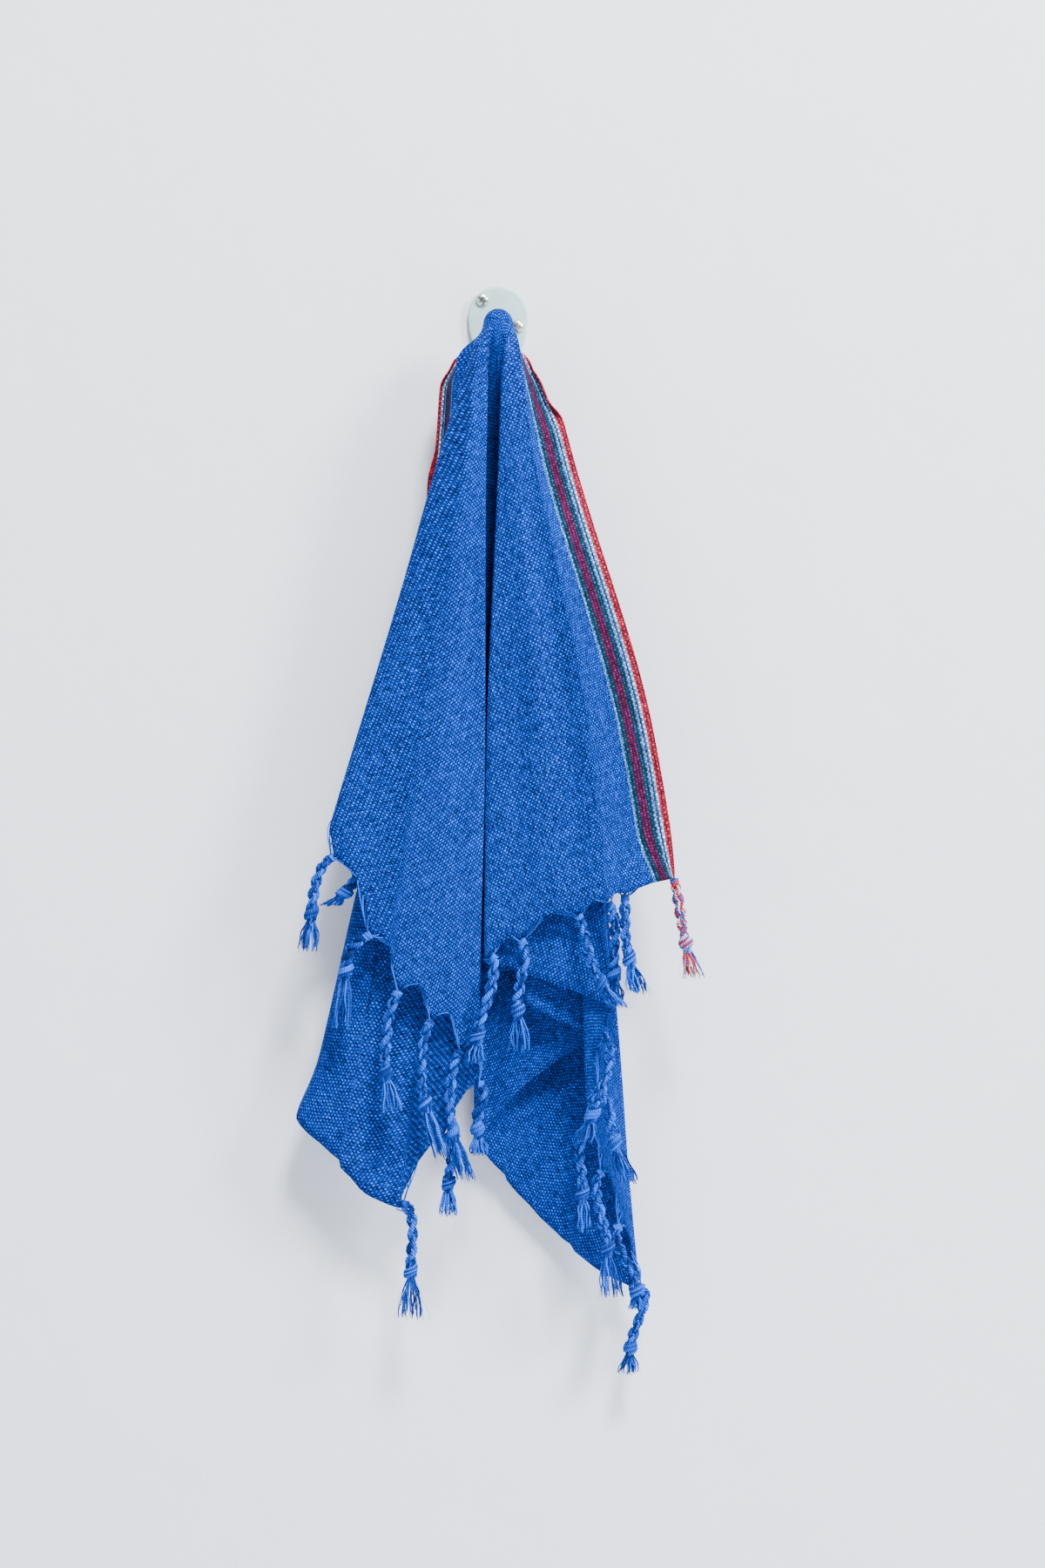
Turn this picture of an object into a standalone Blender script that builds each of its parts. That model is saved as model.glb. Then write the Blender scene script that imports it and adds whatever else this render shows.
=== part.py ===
"""A hand towel of woven cotton, hung by one point of its cloth from a ball hook on a wall plate.

The towel is one sheet, longer along the warp, with a striped edge and a plain one. Its two ends are
gathered into twisted and knotted tassels. It hangs from a point near the striped edge, so the cloth
falls in deep uneven pleats: a front lobe on each side of a dark valley, and longer corners behind.

Everything is in millimetres until it is placed: the origin is on the plate's flat back, which lies on
the wall, 10 below the plate's widest level. +X is to the right, +Z is up, and the cloth hangs in front
of the wall, towards -Y.
"""

import math

import bmesh
import bpy
import numpy as np
from mathutils import Matrix, Vector

NAME = "hand_towel"
MM = 0.001
GAP = 0.3

# The hook: an egg-shaped plate, an arm that leaves it level and turns up into a ball, and two screws
PLATE_HALF_WIDTH, PLATE_WIDEST_AT = 21.3, 10.0
PLATE_ABOVE, PLATE_BELOW = 21.4, 35.0
PLATE_THICK = 4.0
PLATE_ROUNDING = 1.6
ARM_RADIUS = 3.0
ARM_HEIGHT, ARM_BEND = -18.0, 9.0
BALL_RADIUS = 8.6
BALL_AT = (0.6, -40.0, -2.0)
SCREW_HEAD_RADIUS, SCREW_HEAD_HIGH = 4.4, 2.6
SCREW_SHANK_RADIUS = 1.9
SCREW_RECESS = (5.2, 1.1, 1.4)
SCREWS = (
    # name, across, up, turn of its cross in degrees
    ("screw_upper", -11.0, 21.5, 30.0),
    ("screw_lower", 13.7, 2.9, 12.0),
)

# The flat towel, measured from the point that hangs on the hook: 700 by 600 and 1.2 thick
END = {"right": 418.0, "left": 282.0}
PLAIN_EDGE, STRIPED_EDGE = 575.0, 25.0
PLAIN_CORNERS = (math.atan2(PLAIN_EDGE, END["right"]), math.atan2(PLAIN_EDGE, -END["left"]))
SOFTEN_REACH, SOFTEN_SHARES = math.radians(4), (-1.0, -0.6, -0.2, 0.2, 0.6, 1.0)
CLOTH = 1.2
SCALLOP_DEEP, SCALLOP_WIDE, SCALLOP_MOST = 8.0, 46.0, 70.0

# The cloth's bell over the ball: the middle of its thickness, its top, and where it leaves the ball
BELL = 9.9
TOP = (BALL_AT[0], BALL_AT[1], BALL_AT[2] + BELL)
BELL_END = BELL * math.radians(75)
BELL_FLARE = 0.16
FOLDS_FROM, FOLDS_FULL, FOLDS_LEVEL = BELL_END, 34.0, 12.0

# Drops below the top at which the folds' places are given
LEVELS = (16.0, 36.0, 100.0, 300.0, 600.0)
FOLDS = (
    # name, flat angle of its line, way it turns, radius, across at LEVELS, out from the wall at LEVELS, hem's drop
    ("band_right", 0.0, 0, 0.0, (12.0, 15.5, 28, 83, 126), (43.5, 49.5, 60, 66, 66), 399),
    ("right_ridge", 6.0, -1, 12.0, (12.0, 14.5, 24, 64, 92), (48.0, 55.0, 65, 72, 70), 409),
    ("right_crease", 20.0, -1, 2.2, (8.0, 5.8, 3.2, -4.6, -7.5), (53.5, 58.8, 62, 58, 54), 450),
    ("tuck_1", 33.0, 1, 2.2, (6.0, 9.8, 22, 62, 84), (50.6, 54.6, 53, 50, 50), 483),
    ("tuck_2", 42.0, -1, 2.0, (5.2, 5.8, 16, 50, 66), (50.7, 52.4, 48, 44, 44), 566),
    ("plain_right", 53.6, 1, 2.4, (4.4, 10.0, 22, 62, 89), (50.8, 49.0, 41, 30, 28), 675),
    ("back_swell", 58.5, 1, 14.0, (3.7, 8.8, 14, 34, 48), (50.9, 46.0, 33, 18, 15), 662),
    ("back_belly", 63.2, 1, 14.0, (3.0, 6.0, 5, 2, 6), (51.0, 44.2, 30, 17, 14), 618),
    ("notch", 65.5, 1, 2.2, (2.3, 2.5, -1, -10, -15), (51.1, 45.0, 33, 22, 20), 567),
    ("inner_right", 75.6, -1, 2.2, (1.5, 5.6, 12, 48, 72), (51.2, 47.8, 40, 33, 32), 502),
    ("inner_left", 80.0, -1, 5.0, (0.7, 3.0, 6, 15, 27), (51.2, 50.0, 46.5, 44, 44), 488),
    ("hitch", 86.0, 1, 5.0, (-0.2, 0.5, 1, 5, 16), (51.2, 50.2, 45, 38, 38), 444),
    ("hidden_swell", 97.0, 1, 12.0, (-1.6, -4.5, -10, -42, -62), (51.1, 47.9, 34, 20, 20), 505),
    ("lobe_left", 107.0, 1, 8.0, (-3.0, -8.0, -22, -71, -141), (50.9, 45.5, 37.5, 27.5, 24), 550),
    ("lobe_belly", 111.0, 1, 12.0, (-4.0, -7.2, -18, -58, -110), (50.7, 48.4, 43.5, 40.6, 44), 603),
    ("corner_left", 116.1, -1, 10.0, (-5.2, -6.6, -12, -34, -66), (50.5, 50.8, 46, 43, 43), 624),
    ("left_crease", 119.0, -1, 2.2, (-9.0, -9.2, -9.4, -11.2, -16.5), (53.5, 59.3, 62, 58, 54), 525),
    ("left_swell", 127.5, -1, 14.0, (-10.6, -13.2, -20, -52, -92), (51.8, 59.8, 68, 67, 62), 461),
    ("left_edge", 135.0, -1, 2.8, (-11.8, -16.8, -35.5, -94.5, -185), (48.5, 53.2, 55, 53, 50), 363),
    ("left_tuck", 158.0, 1, 2.2, (-11.5, -12.4, -15.5, -25, -40), (44.5, 50.0, 54, 55, 54), 300),
    ("band_left", 180.0, 0, 0.0, (-12.5, -28.0, -33, -62, -118), (41.0, 44.3, 47, 47, 47), 272),
)

# The striped strip beyond the hook: its lean from +X towards the wall at LEVELS, and the drops
# between which its border rolls up, and then opens flat again
LEAN = {"right": (80.0, 72.0, 30.0, 14.0, 8.0), "left": (60.0, 72.0, 70.0, 22.0, 5.0)}
ROLLS = (22.0, 42.0)
OPENS = {"right": (60.0, 95.0), "left": (90.0, 150.0)}
ROLL_FROM, ROLL_RADIUS = 16.0, 2.6
BAND_FROM, BAND_FULL = 10.0, 60.0

# The tassels. Each is a two-ply twist from its root, a knot, and a tail of loose locks
TASSELS = (
    # name, end, along the end, knot across, knot down, tip across, tip down, both out, lengthwise spread of the tail
    ("tassel_right_1", "right", -22, 7, 39, 13, 67, 1, 9),
    ("tassel_right_2", "right", 24, 2, 39, 9, 67, 1, 9),
    ("tassel_right_3", "right", 45, 4, 45, 5, 70, -12, 6),
    ("tassel_right_4", "right", 70, 13, 42, 27, 62, 5, 9),
    ("tassel_right_5", "right", 116, -3, 43, -1, 76, 2, 8),
    ("tassel_right_6", "right", 142, -8, 50, -11, 74, 7, 8),
    ("tassel_right_7", "right", 300, -8, 46, -15, 70, 12, 8),
    ("tassel_right_8", "right", 346, 12, 30, 22, 62, 5, 9),
    ("tassel_right_9", "right", 386, -4, 36, -4, 66, 9, 6),
    ("tassel_right_10", "right", 438, 3, 46, 7, 84, 8, 9),
    ("tassel_right_11", "right", 505, 10, 38, 11, 56, 6, 6),
    ("tassel_right_12", "right", 573, -5, 38, -8, 60, 0, 9),
    ("tassel_left_1", "left", -22, 2, 44, 0, 70, 7, 5),
    ("tassel_left_2", "left", 16, -2, 46, -3, 70, 0.6, 4),
    ("tassel_left_3", "left", 50, 2, 36, 3, 56, -1.0, 3),
    ("tassel_left_4", "left", 166, 0, 46, 1, 72, 2, 4),
    ("tassel_left_5", "left", 214, 1, 45, 1, 70, 1, 4),
    ("tassel_left_6", "left", 250, -5, 52, -19, 64, -3, 9),
    ("tassel_left_7", "left", 296, -14, 34, -17, 64, 1, 9),
    ("tassel_left_8", "left", 342, -16, 20, -18, 63, 2, 9),
    ("tassel_left_9", "left", 388, -9, 51, -6, 81, 3, 9),
    ("tassel_left_10", "left", 434, -5, 51, 8, 93, 5, 7),
    ("tassel_left_11", "left", 480, -6, 51, 3, 87, 3, 8),
    ("tassel_left_12", "left", 515, 0, 27, 2, 49, 2, 8),
    ("tassel_left_13", "left", 540, 3, 27, 2, 54, 2, 8),
    ("tassel_left_14", "left", 572, 6, 42, 7, 78, 2, 11),
)
ROOT_HALF_WIDE, ROOT_HALF_THICK, ROOT_GAP = 2.6, 0.9, 0.9
ROOT_ARM, ROOT_FORWARD, KNOT_ARM, RIM_PROBE = 12.0, 0.6, 10.0, 3.0
PLY_LONG, PLY_SHORT = 4.0, 2.4
PLY_STEP, PLY_TURN = 3.6, math.radians(60)
KNOT_LONG = 11.0
KNOT_RINGS = (
    # share of its length, half width, half depth
    (0.25, 4.1, 3.7),
    (0.7, 3.9, 3.5),
    (1.0, 2.1, 1.9),
)
LOCK_RINGS = (
    # share of its length, half width, share of the spread
    (0.5, 2.0, 0.7),
    (1.0, 0.7, 1.0),
)
LOCK_REACH = (1.0, 0.84, 0.93, 0.78)
LOCK_ROOM = 9.0
TAIL_DEPTH = 0.5

TURN_TO_WALL = Matrix.Rotation(math.pi / 2, 3, "X")

# How finely the cloth is divided
HOOK_ROWS = (0.0, 4.0, 7.5, 11.0, 15.0, 19.5, 25.0, 32.0)
ROWS_BELOW = 10
ROW_CROWDING = 1.5
STRIP_STEPS = (0.0, 4.0, 8.0, 12.0, 16.0, 19.0, 22.0, 25.0)
CREASE_STEPS, SWELL_STEPS, LINE_STEPS = (-0.5, -0.17, 0.17, 0.5), (0.0,), (1 / 3, 2 / 3)
COLUMN_APART = 0.1

# name: colour, roughness, metallic
FINISHES = {
    "hook": ((0.72, 0.79, 0.77), 0.35, 0.0),
    "screw": ((0.62, 0.62, 0.60), 0.3, 1.0),
    "cloth": ((0.05, 0.19, 0.62), 0.9, 0.0),
    "yarn": ((0.06, 0.21, 0.66), 0.9, 0.0),
}

FOLD_ANGLE = np.radians([row[1] for row in FOLDS])
FOLD_WAY = np.array([row[2] for row in FOLDS], float)
FOLD_ROLL = np.array([row[3] for row in FOLDS], float)
FOLD_ACROSS = np.array([row[4] for row in FOLDS], float)
FOLD_OUT = np.array([row[5] for row in FOLDS], float)
FOLD_HEM = np.array([row[6] for row in FOLDS], float)
LAST = len(FOLDS) - 1
COLUMN_OF_BAND = {"right": 0.0, "left": 2.0 * LAST}

# Near the hook the folds crowd: a fold's largest radius is a share of its distance from the next
ROLL_SHARE, LEAST_ROLL, SHORTEST_TURN = 0.32, 0.5, 0.3
LEAST_HALF, MOST_HALF = 0.08, 0.3

# A swell is a wide soft fold. Its row gives the surface of the cloth, and a crease's row its centre
SOFT_FROM = 3.0
MIDWAY = 3
RUN_ACROSS = np.sign(
    np.append(FOLD_ACROSS[0, MIDWAY], FOLD_ACROSS[:-1, MIDWAY])
    - np.append(FOLD_ACROSS[1:, MIDWAY], FOLD_ACROSS[-1, MIDWAY])
)
SWELL_SET_BACK = (FOLD_ROLL > SOFT_FROM) * RUN_ACROSS * FOLD_WAY


def ease(x):
    """0 to 1 with level ends."""
    x = np.clip(x, 0, 1)
    return x * x * (3 - 2 * x)


def through(values, drop):
    """Smooth curve through a row of values at LEVELS, with no overshoot, straight beyond its ends."""
    level, value = np.array(LEVELS), np.array(values, float)
    step = np.diff(level)
    rise = np.diff(value) / step
    slope = np.concatenate([rise[..., :1], rise[..., -1:]], -1)
    for i in range(1, len(level) - 1):
        one, two = rise[..., i - 1], rise[..., i]
        wide, narrow = 2 * step[i] + step[i - 1], step[i] + 2 * step[i - 1]
        same = one * two > 0
        mean = (wide + narrow) / (wide / np.where(same, one, 1) + narrow / np.where(same, two, 1))
        slope = np.insert(slope, i, np.where(same, mean, 0), axis=-1)
    i = np.clip(np.searchsorted(level, drop) - 1, 0, len(level) - 2)
    t = np.clip((drop - level[i]) / step[i], 0, 1)
    curve = (1 - t) ** 2 * (1 + 2 * t) * value[..., i] + t * t * (3 - 2 * t) * value[..., i + 1]
    curve = curve + t * (1 - t) * step[i] * ((1 - t) * slope[..., i] - t * slope[..., i + 1])
    above, below = np.minimum(drop - level[0], 0), np.maximum(drop - level[-1], 0)
    return curve + above * slope[..., :1] + below * slope[..., -1:]


def rolls(drop):
    """Radius of each fold at a drop. Near the hook the folds crowd, and so roll tighter."""
    across, out = through(FOLD_ACROSS, drop), through(FOLD_OUT, drop)
    apart = np.hypot(np.diff(across, axis=0), np.diff(out, axis=0))
    nearer = np.minimum(np.concatenate([apart[:1], apart]), np.concatenate([apart, apart[-1:]]))
    radius = np.minimum(FOLD_ROLL[:, None], ROLL_SHARE * nearer)
    return radius * ease((radius - LEAST_ROLL / 2) / LEAST_ROLL)


def belt(drop):
    """The cloth's level section at a drop: rollers, and the straight runs of a belt round them."""
    radius = rolls(drop)
    x = through(FOLD_ACROSS, drop)
    y = -(through(FOLD_OUT, drop) + SWELL_SET_BACK[:, None] * radius)
    signed = FOLD_WAY[:, None] * radius
    dx, dy = np.diff(x, axis=0), np.diff(y, axis=0)
    apart = np.hypot(dx, dy)
    cross = (signed[1:] - signed[:-1]) / apart
    heading = np.unwrap(np.arctan2(dy, dx) - np.arcsin(np.clip(cross, -0.99, 0.99)), axis=0)
    run = apart * np.sqrt(np.clip(1 - cross**2, 0.02, 1))
    before = np.concatenate([heading[:1], heading])
    after = np.concatenate([heading, heading[-1:]])
    quarter = math.pi / 2
    wrap = np.mod((after - before) * FOLD_WAY[:, None] + quarter, 4 * quarter) - quarter
    wrap = np.maximum(wrap, 0) * (FOLD_WAY[:, None] != 0)
    slack = np.maximum(SHORTEST_TURN - wrap * radius, 0) / 2
    section = {"x": x, "y": y, "before": before, "after": after}
    return section | {"wrap": wrap, "run": run, "radius": radius, "slack": slack}


def split(column):
    """A column is 2 x the fold's number, + or - 1/2 round the fold, and then runs on to the next fold."""
    fold = np.clip(np.floor(column / 2 + 0.25).astype(int), 0, LAST)
    past = column - 2 * fold
    round_fold = past <= 0.5
    return fold, round_fold, np.where(round_fold, 2 * past, past - 0.5)


def drawn_in(end, u):
    """How far the end is drawn up at u, between the roots of its tassels."""
    roots = np.array(sorted(row[2] for row in TASSELS if row[1] == end), float)
    i = np.clip(np.searchsorted(roots, u) - 1, 0, len(roots) - 2)
    wide = roots[i + 1] - roots[i]
    f = np.clip((u - roots[i]) / wide, 0, 1)
    deep = np.where(wide < SCALLOP_MOST, SCALLOP_DEEP * np.minimum(wide / SCALLOP_WIDE, 1), 0)
    return deep * np.sin(math.pi * f) ** 0.8


def rim(angle, scallops=True):
    """Flat distance from the hook to the towel's rim, at an angle from the warp's right end."""
    c, s = np.cos(angle), np.maximum(np.sin(angle), 1e-9)
    long_way = np.where(c > 0, END["right"], END["left"]) / np.maximum(abs(c), 1e-9)
    to_plain = PLAIN_EDGE / s
    u = long_way * s
    drawn = np.where(c > 0, drawn_in("right", u), drawn_in("left", u)) / np.maximum(abs(c), 1e-9)
    return np.where(long_way < to_plain, long_way - drawn * scallops, to_plain)


def between_folds(angle, values):
    """The folds' values at an angle, in straight lines, rounded off along the plain edge."""
    reach = np.clip(np.minimum(angle - PLAIN_CORNERS[0], PLAIN_CORNERS[1] - angle), 0, SOFTEN_REACH)
    return np.mean([np.interp(angle + share * reach, FOLD_ANGLE, values) for share in SOFTEN_SHARES], axis=0)


def hem_drop(angle):
    """Drop of the rim at an angle: each fold's own, and between them by the way that they slant."""
    own = belt(FOLD_HEM)["x"].diagonal()
    slant = np.arctan2(own - TOP[0], FOLD_HEM)
    give = FOLD_HEM / (rim(FOLD_ANGLE, scallops=False) * np.cos(slant))
    return rim(angle) * between_folds(angle, give) * np.cos(between_folds(angle, slant))


def flat_angle(column, r, drop):
    """Angle on the flat towel of the cloth that lies at a column, r from the hook."""
    fold, round_fold, f = split(column)
    section = belt(drop)
    half = section["wrap"] * section["radius"] / 2 / np.maximum(r, 1)
    span = np.diff(FOLD_ANGLE)
    nearer = np.minimum(np.append(span, span[-1]), np.append(span[0], span))[:, None]
    half = np.clip(half, LEAST_HALF * nearer, MOST_HALF * nearer)
    n, after = np.arange(len(column)), np.minimum(fold + 1, LAST)
    start, stop = FOLD_ANGLE[fold] + half[fold, n], FOLD_ANGLE[after] - half[after, n]
    return np.where(round_fold, FOLD_ANGLE[fold] + f * half[fold, n], start + (stop - start) * f)


def hem_of(column):
    """Flat distance and drop of the rim at a column, found in a few rounds."""
    fold, round_fold, f = split(column)
    after = np.minimum(fold + 1, LAST)
    ahead = FOLD_ANGLE[fold] + (FOLD_ANGLE[after] - FOLD_ANGLE[fold]) * f
    angle = np.where(round_fold, FOLD_ANGLE[fold], ahead)
    for _ in range(4):
        angle = flat_angle(column, rim(angle), hem_drop(angle))
    return rim(angle), hem_drop(angle), angle


def bell_radius(r):
    """Half width of the cloth's bell over the ball, r along the cloth from the top."""
    past = np.maximum(r - BELL_END, 0)
    return BELL * np.sin(np.minimum(r, BELL_END) / BELL) + BELL_FLARE * past


def bell_drop(r):
    """Drop of the bell, where it still lies on the ball."""
    return BELL * (1 - np.cos(np.minimum(r, BELL_END) / BELL))


def pleated(column, r, reach, hem):
    """Places of the cloth that hangs in pleats, at a column and r from the hook."""
    below = bell_drop(BELL_END)
    drop = bell_drop(r) + np.maximum(r - BELL_END, 0) * (hem - below) / np.maximum(reach - BELL_END, 1)
    level = np.maximum(drop, FOLDS_LEVEL)
    fold, round_fold, f = split(column)
    section = belt(level)
    n = np.arange(len(column))
    start = section["before"][fold, n] + FOLD_WAY[fold] * section["wrap"][fold, n] * (f + 1) / 2
    heading = np.where(round_fold, start, section["after"][fold, n])
    side = FOLD_WAY[fold] * section["radius"][fold, n]
    slack, after = section["slack"], np.minimum(fold + 1, LAST)
    length = section["run"][np.minimum(fold, LAST - 1), n] - slack[fold, n] - slack[after, n]
    run = np.where(round_fold, f * slack[fold, n], slack[fold, n] + f * length)
    x = section["x"][fold, n] + side * np.sin(heading) + run * np.cos(heading)
    y = section["y"][fold, n] - side * np.cos(heading) + run * np.sin(heading)
    angle = flat_angle(column, r, level)
    on_bell = bell_radius(r)
    bell_x, bell_y = TOP[0] + on_bell * np.cos(angle), TOP[1] - on_bell * np.sin(angle)
    folded = ease((r - FOLDS_FROM) / (FOLDS_FULL - FOLDS_FROM))
    return np.stack([bell_x + (x - bell_x) * folded, bell_y + (y - bell_y) * folded, TOP[2] - drop], -1)


def striped(side, run, past):
    """Places of the striped strip: run along the warp from the hook, past the hook by 0 to 25."""
    sign = 1 if side == "right" else -1
    column = np.full(len(run), COLUMN_OF_BAND[side])
    reach, hem, _ = hem_of(column)
    inner = pleated(column, run, reach, hem)
    drop = TOP[2] - inner[:, 2]
    lean = np.radians(through(LEAN[side], drop))
    rolled = 1 - ease((drop - OPENS[side][0]) / (OPENS[side][1] - OPENS[side][0]))
    rolled = rolled * ease((drop - ROLLS[0]) / (ROLLS[1] - ROLLS[0]))
    flat, curled = np.minimum(past, ROLL_FROM), np.maximum(past - ROLL_FROM, 0)
    bend = np.maximum(rolled / ROLL_RADIUS, 1e-4)
    across = flat * np.cos(lean) + (np.sin(lean) - np.sin(lean - curled * bend)) / bend
    back = flat * np.sin(lean) + (np.cos(lean - curled * bend) - np.cos(lean)) / bend
    slant = (inner[:, 0] - TOP[0]) / np.maximum(np.hypot(inner[:, 0] - TOP[0], drop), 1)
    lift = abs(slant) * past * (1 - rolled)
    hanging = inner + np.stack([sign * across, back, lift], -1)
    r, angle = np.hypot(run, past), np.arctan2(-past, sign * run)
    radius, fall = bell_radius(r), bell_drop(r) + np.maximum(r - BELL_END, 0)
    on_bell = np.stack([TOP[0] + radius * np.cos(angle), TOP[1] - radius * np.sin(angle), TOP[2] - fall], -1)
    return on_bell + (hanging - on_bell) * ease((run - BAND_FROM) / (BAND_FULL - BAND_FROM))[:, None]


def column_at(end, u):
    """Column whose rim lies u along an end."""
    columns = np.linspace(0, 2 * LAST, 60 * LAST + 1)
    angle = hem_of(columns)[2]
    wanted = np.arctan2(u, END[end] if end == "right" else -END[end])
    return float(np.interp(wanted, angle, columns))


def cloth_columns():
    """Columns of the mesh: round each fold, at the tassels and midway between them, and along the runs."""
    kept = [0.0, 2.0 * LAST]
    for fold in range(1, LAST):
        steps = SWELL_STEPS if FOLD_ROLL[fold] > SOFT_FROM else CREASE_STEPS
        kept += [2 * fold + step for step in steps]
    for end in END:
        roots = sorted(row[2] for row in TASSELS if row[1] == end and row[2] > 0)
        mids = [(one + two) / 2 for one, two in zip(roots, roots[1:])]
        for u in roots + mids:
            column = column_at(end, u)
            if min(abs(column - other) for other in kept) > COLUMN_APART:
                kept.append(column)
    for fold in range(LAST):
        for step in LINE_STEPS:
            column = 2 * fold + 0.5 + step
            if min(abs(column - other) for other in kept) > 1.5 * COLUMN_APART:
                kept.append(column)
    return np.array(sorted(kept))


def rows_to(reach):
    """Flat distances of the mesh's rows, from the hook to the rim."""
    share = (np.arange(1, ROWS_BELOW + 1) / ROWS_BELOW) ** ROW_CROWDING
    near = np.array(HOOK_ROWS)
    return np.concatenate([near, near[-1] + (reach - near[-1]) * share])


def lay_grid(bm, places):
    """A grid of quads, its corners moved to an array of places."""
    across, along = places.shape[0] - 1, places.shape[1] - 1
    corners = bmesh.ops.create_grid(bm, x_segments=across, y_segments=along, size=0.5)["verts"]
    for corner in corners:
        i, j = round((corner.co.x + 0.5) * across), round((corner.co.y + 0.5) * along)
        corner.co = Vector(places[i, j]) * MM


def finish(name):
    """Plain material for a sub-part."""
    colour, roughness, metallic = FINISHES[name]
    material = bpy.data.materials.get(name) or bpy.data.materials.new(name)
    material.use_nodes = True
    shader = material.node_tree.nodes["Principled BSDF"]
    shader.inputs["Base Color"].default_value = (*colour, 1.0)
    shader.inputs["Roughness"].default_value = roughness
    shader.inputs["Metallic"].default_value = metallic
    return material


def new_object(name, bm, collection, material=None):
    """Object of a finished bmesh, in a collection."""
    bmesh.ops.recalc_face_normals(bm, faces=bm.faces)
    mesh = bpy.data.meshes.new(name)
    bm.to_mesh(mesh)
    bm.free()
    thing = bpy.data.objects.new(name, mesh)
    collection.objects.link(thing)
    if material:
        mesh.materials.append(finish(material))
    return thing


def build_towel(collection):
    """The whole cloth: its pleated part, and the striped strip beyond the hook."""
    columns = cloth_columns()
    reach, hem, _ = hem_of(columns)
    rows = np.stack([rows_to(one) for one in reach])
    places = np.stack([pleated(columns, rows[:, j], reach, hem) for j in range(rows.shape[1])], 1)
    bm = bmesh.new()
    lay_grid(bm, places)
    past = np.array(STRIP_STEPS)
    for side, edge in (("right", 0), ("left", -1)):
        line = rows[edge]
        length = (END[side] - drawn_in(side, -past)) / line[-1]
        stretch = 1 + (length[:, None] - 1) * (line > HOOK_ROWS[-1])
        strip = [striped(side, line * one, np.full(len(line), far)) for one, far in zip(stretch, past)]
        lay_grid(bm, np.stack(strip))
    bmesh.ops.remove_doubles(bm, verts=bm.verts, dist=0.001 * MM)
    towel = new_object("towel", bm, collection, "cloth")
    towel.data.shade_smooth()
    thickness = towel.modifiers.new("cloth", "SOLIDIFY")
    thickness.thickness = CLOTH * MM
    thickness.offset = 0.0
    return towel


def rim_at(end, u):
    """Place of the rim at u along an end."""
    if u < 0:
        return Vector(striped(end, np.array([END[end]]), np.array([-float(u)]))[0])
    column = np.array([column_at(end, u)])
    reach, hem, _ = hem_of(column)
    return Vector(pleated(column, reach, reach, hem)[0])


def tassel_root(end, u):
    """Where a tassel leaves the rim, and the way square to the rim, down and in the cloth's face."""
    along = rim_at(end, u + RIM_PROBE) - rim_at(end, u - RIM_PROBE)
    outward = Vector((along.z, 0, -along.x)).normalized()
    if outward.z > 0:
        outward.negate()
    return rim_at(end, u) + outward * ROOT_GAP, outward


def bend_through(start, leaving, finish, arriving, share):
    """Point and direction on a cubic curve between two places, by the arms at its ends."""
    points = (start, start + leaving, finish - arriving, finish)
    rest = 1 - share
    weights = (rest**3, 3 * share * rest**2, 3 * share**2 * rest, share**3)
    place = sum((point * weight for point, weight in zip(points, weights)), Vector())
    arms = [(two - one) * 3 for one, two in zip(points, points[1:])]
    direction = arms[0] * rest**2 + arms[1] * 2 * rest * share + arms[2] * share**2
    return place, direction


def section_at(centre, along, long, short, turn):
    """Four corners of a flattened section square to a direction."""
    along = Vector(along).normalized()
    sideways = Vector((0, 1, 0)).cross(along).normalized()
    depth = along.cross(sideways)
    corners = []
    for x, y in ((long, short), (-long, short), (-long, -short), (long, -short)):
        across = sideways * (x * math.cos(turn) - y * math.sin(turn))
        inward = depth * (x * math.sin(turn) + y * math.cos(turn))
        corners.append(Vector(centre) + across + inward)
    return corners


def pull(bm, face, corners):
    """Extrude a face, and move the new one's corners."""
    pulled = bmesh.ops.extrude_discrete_faces(bm, faces=[face])["faces"][0]
    for corner, place in zip(pulled.verts, corners):
        corner.co = place * MM
    return pulled


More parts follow.
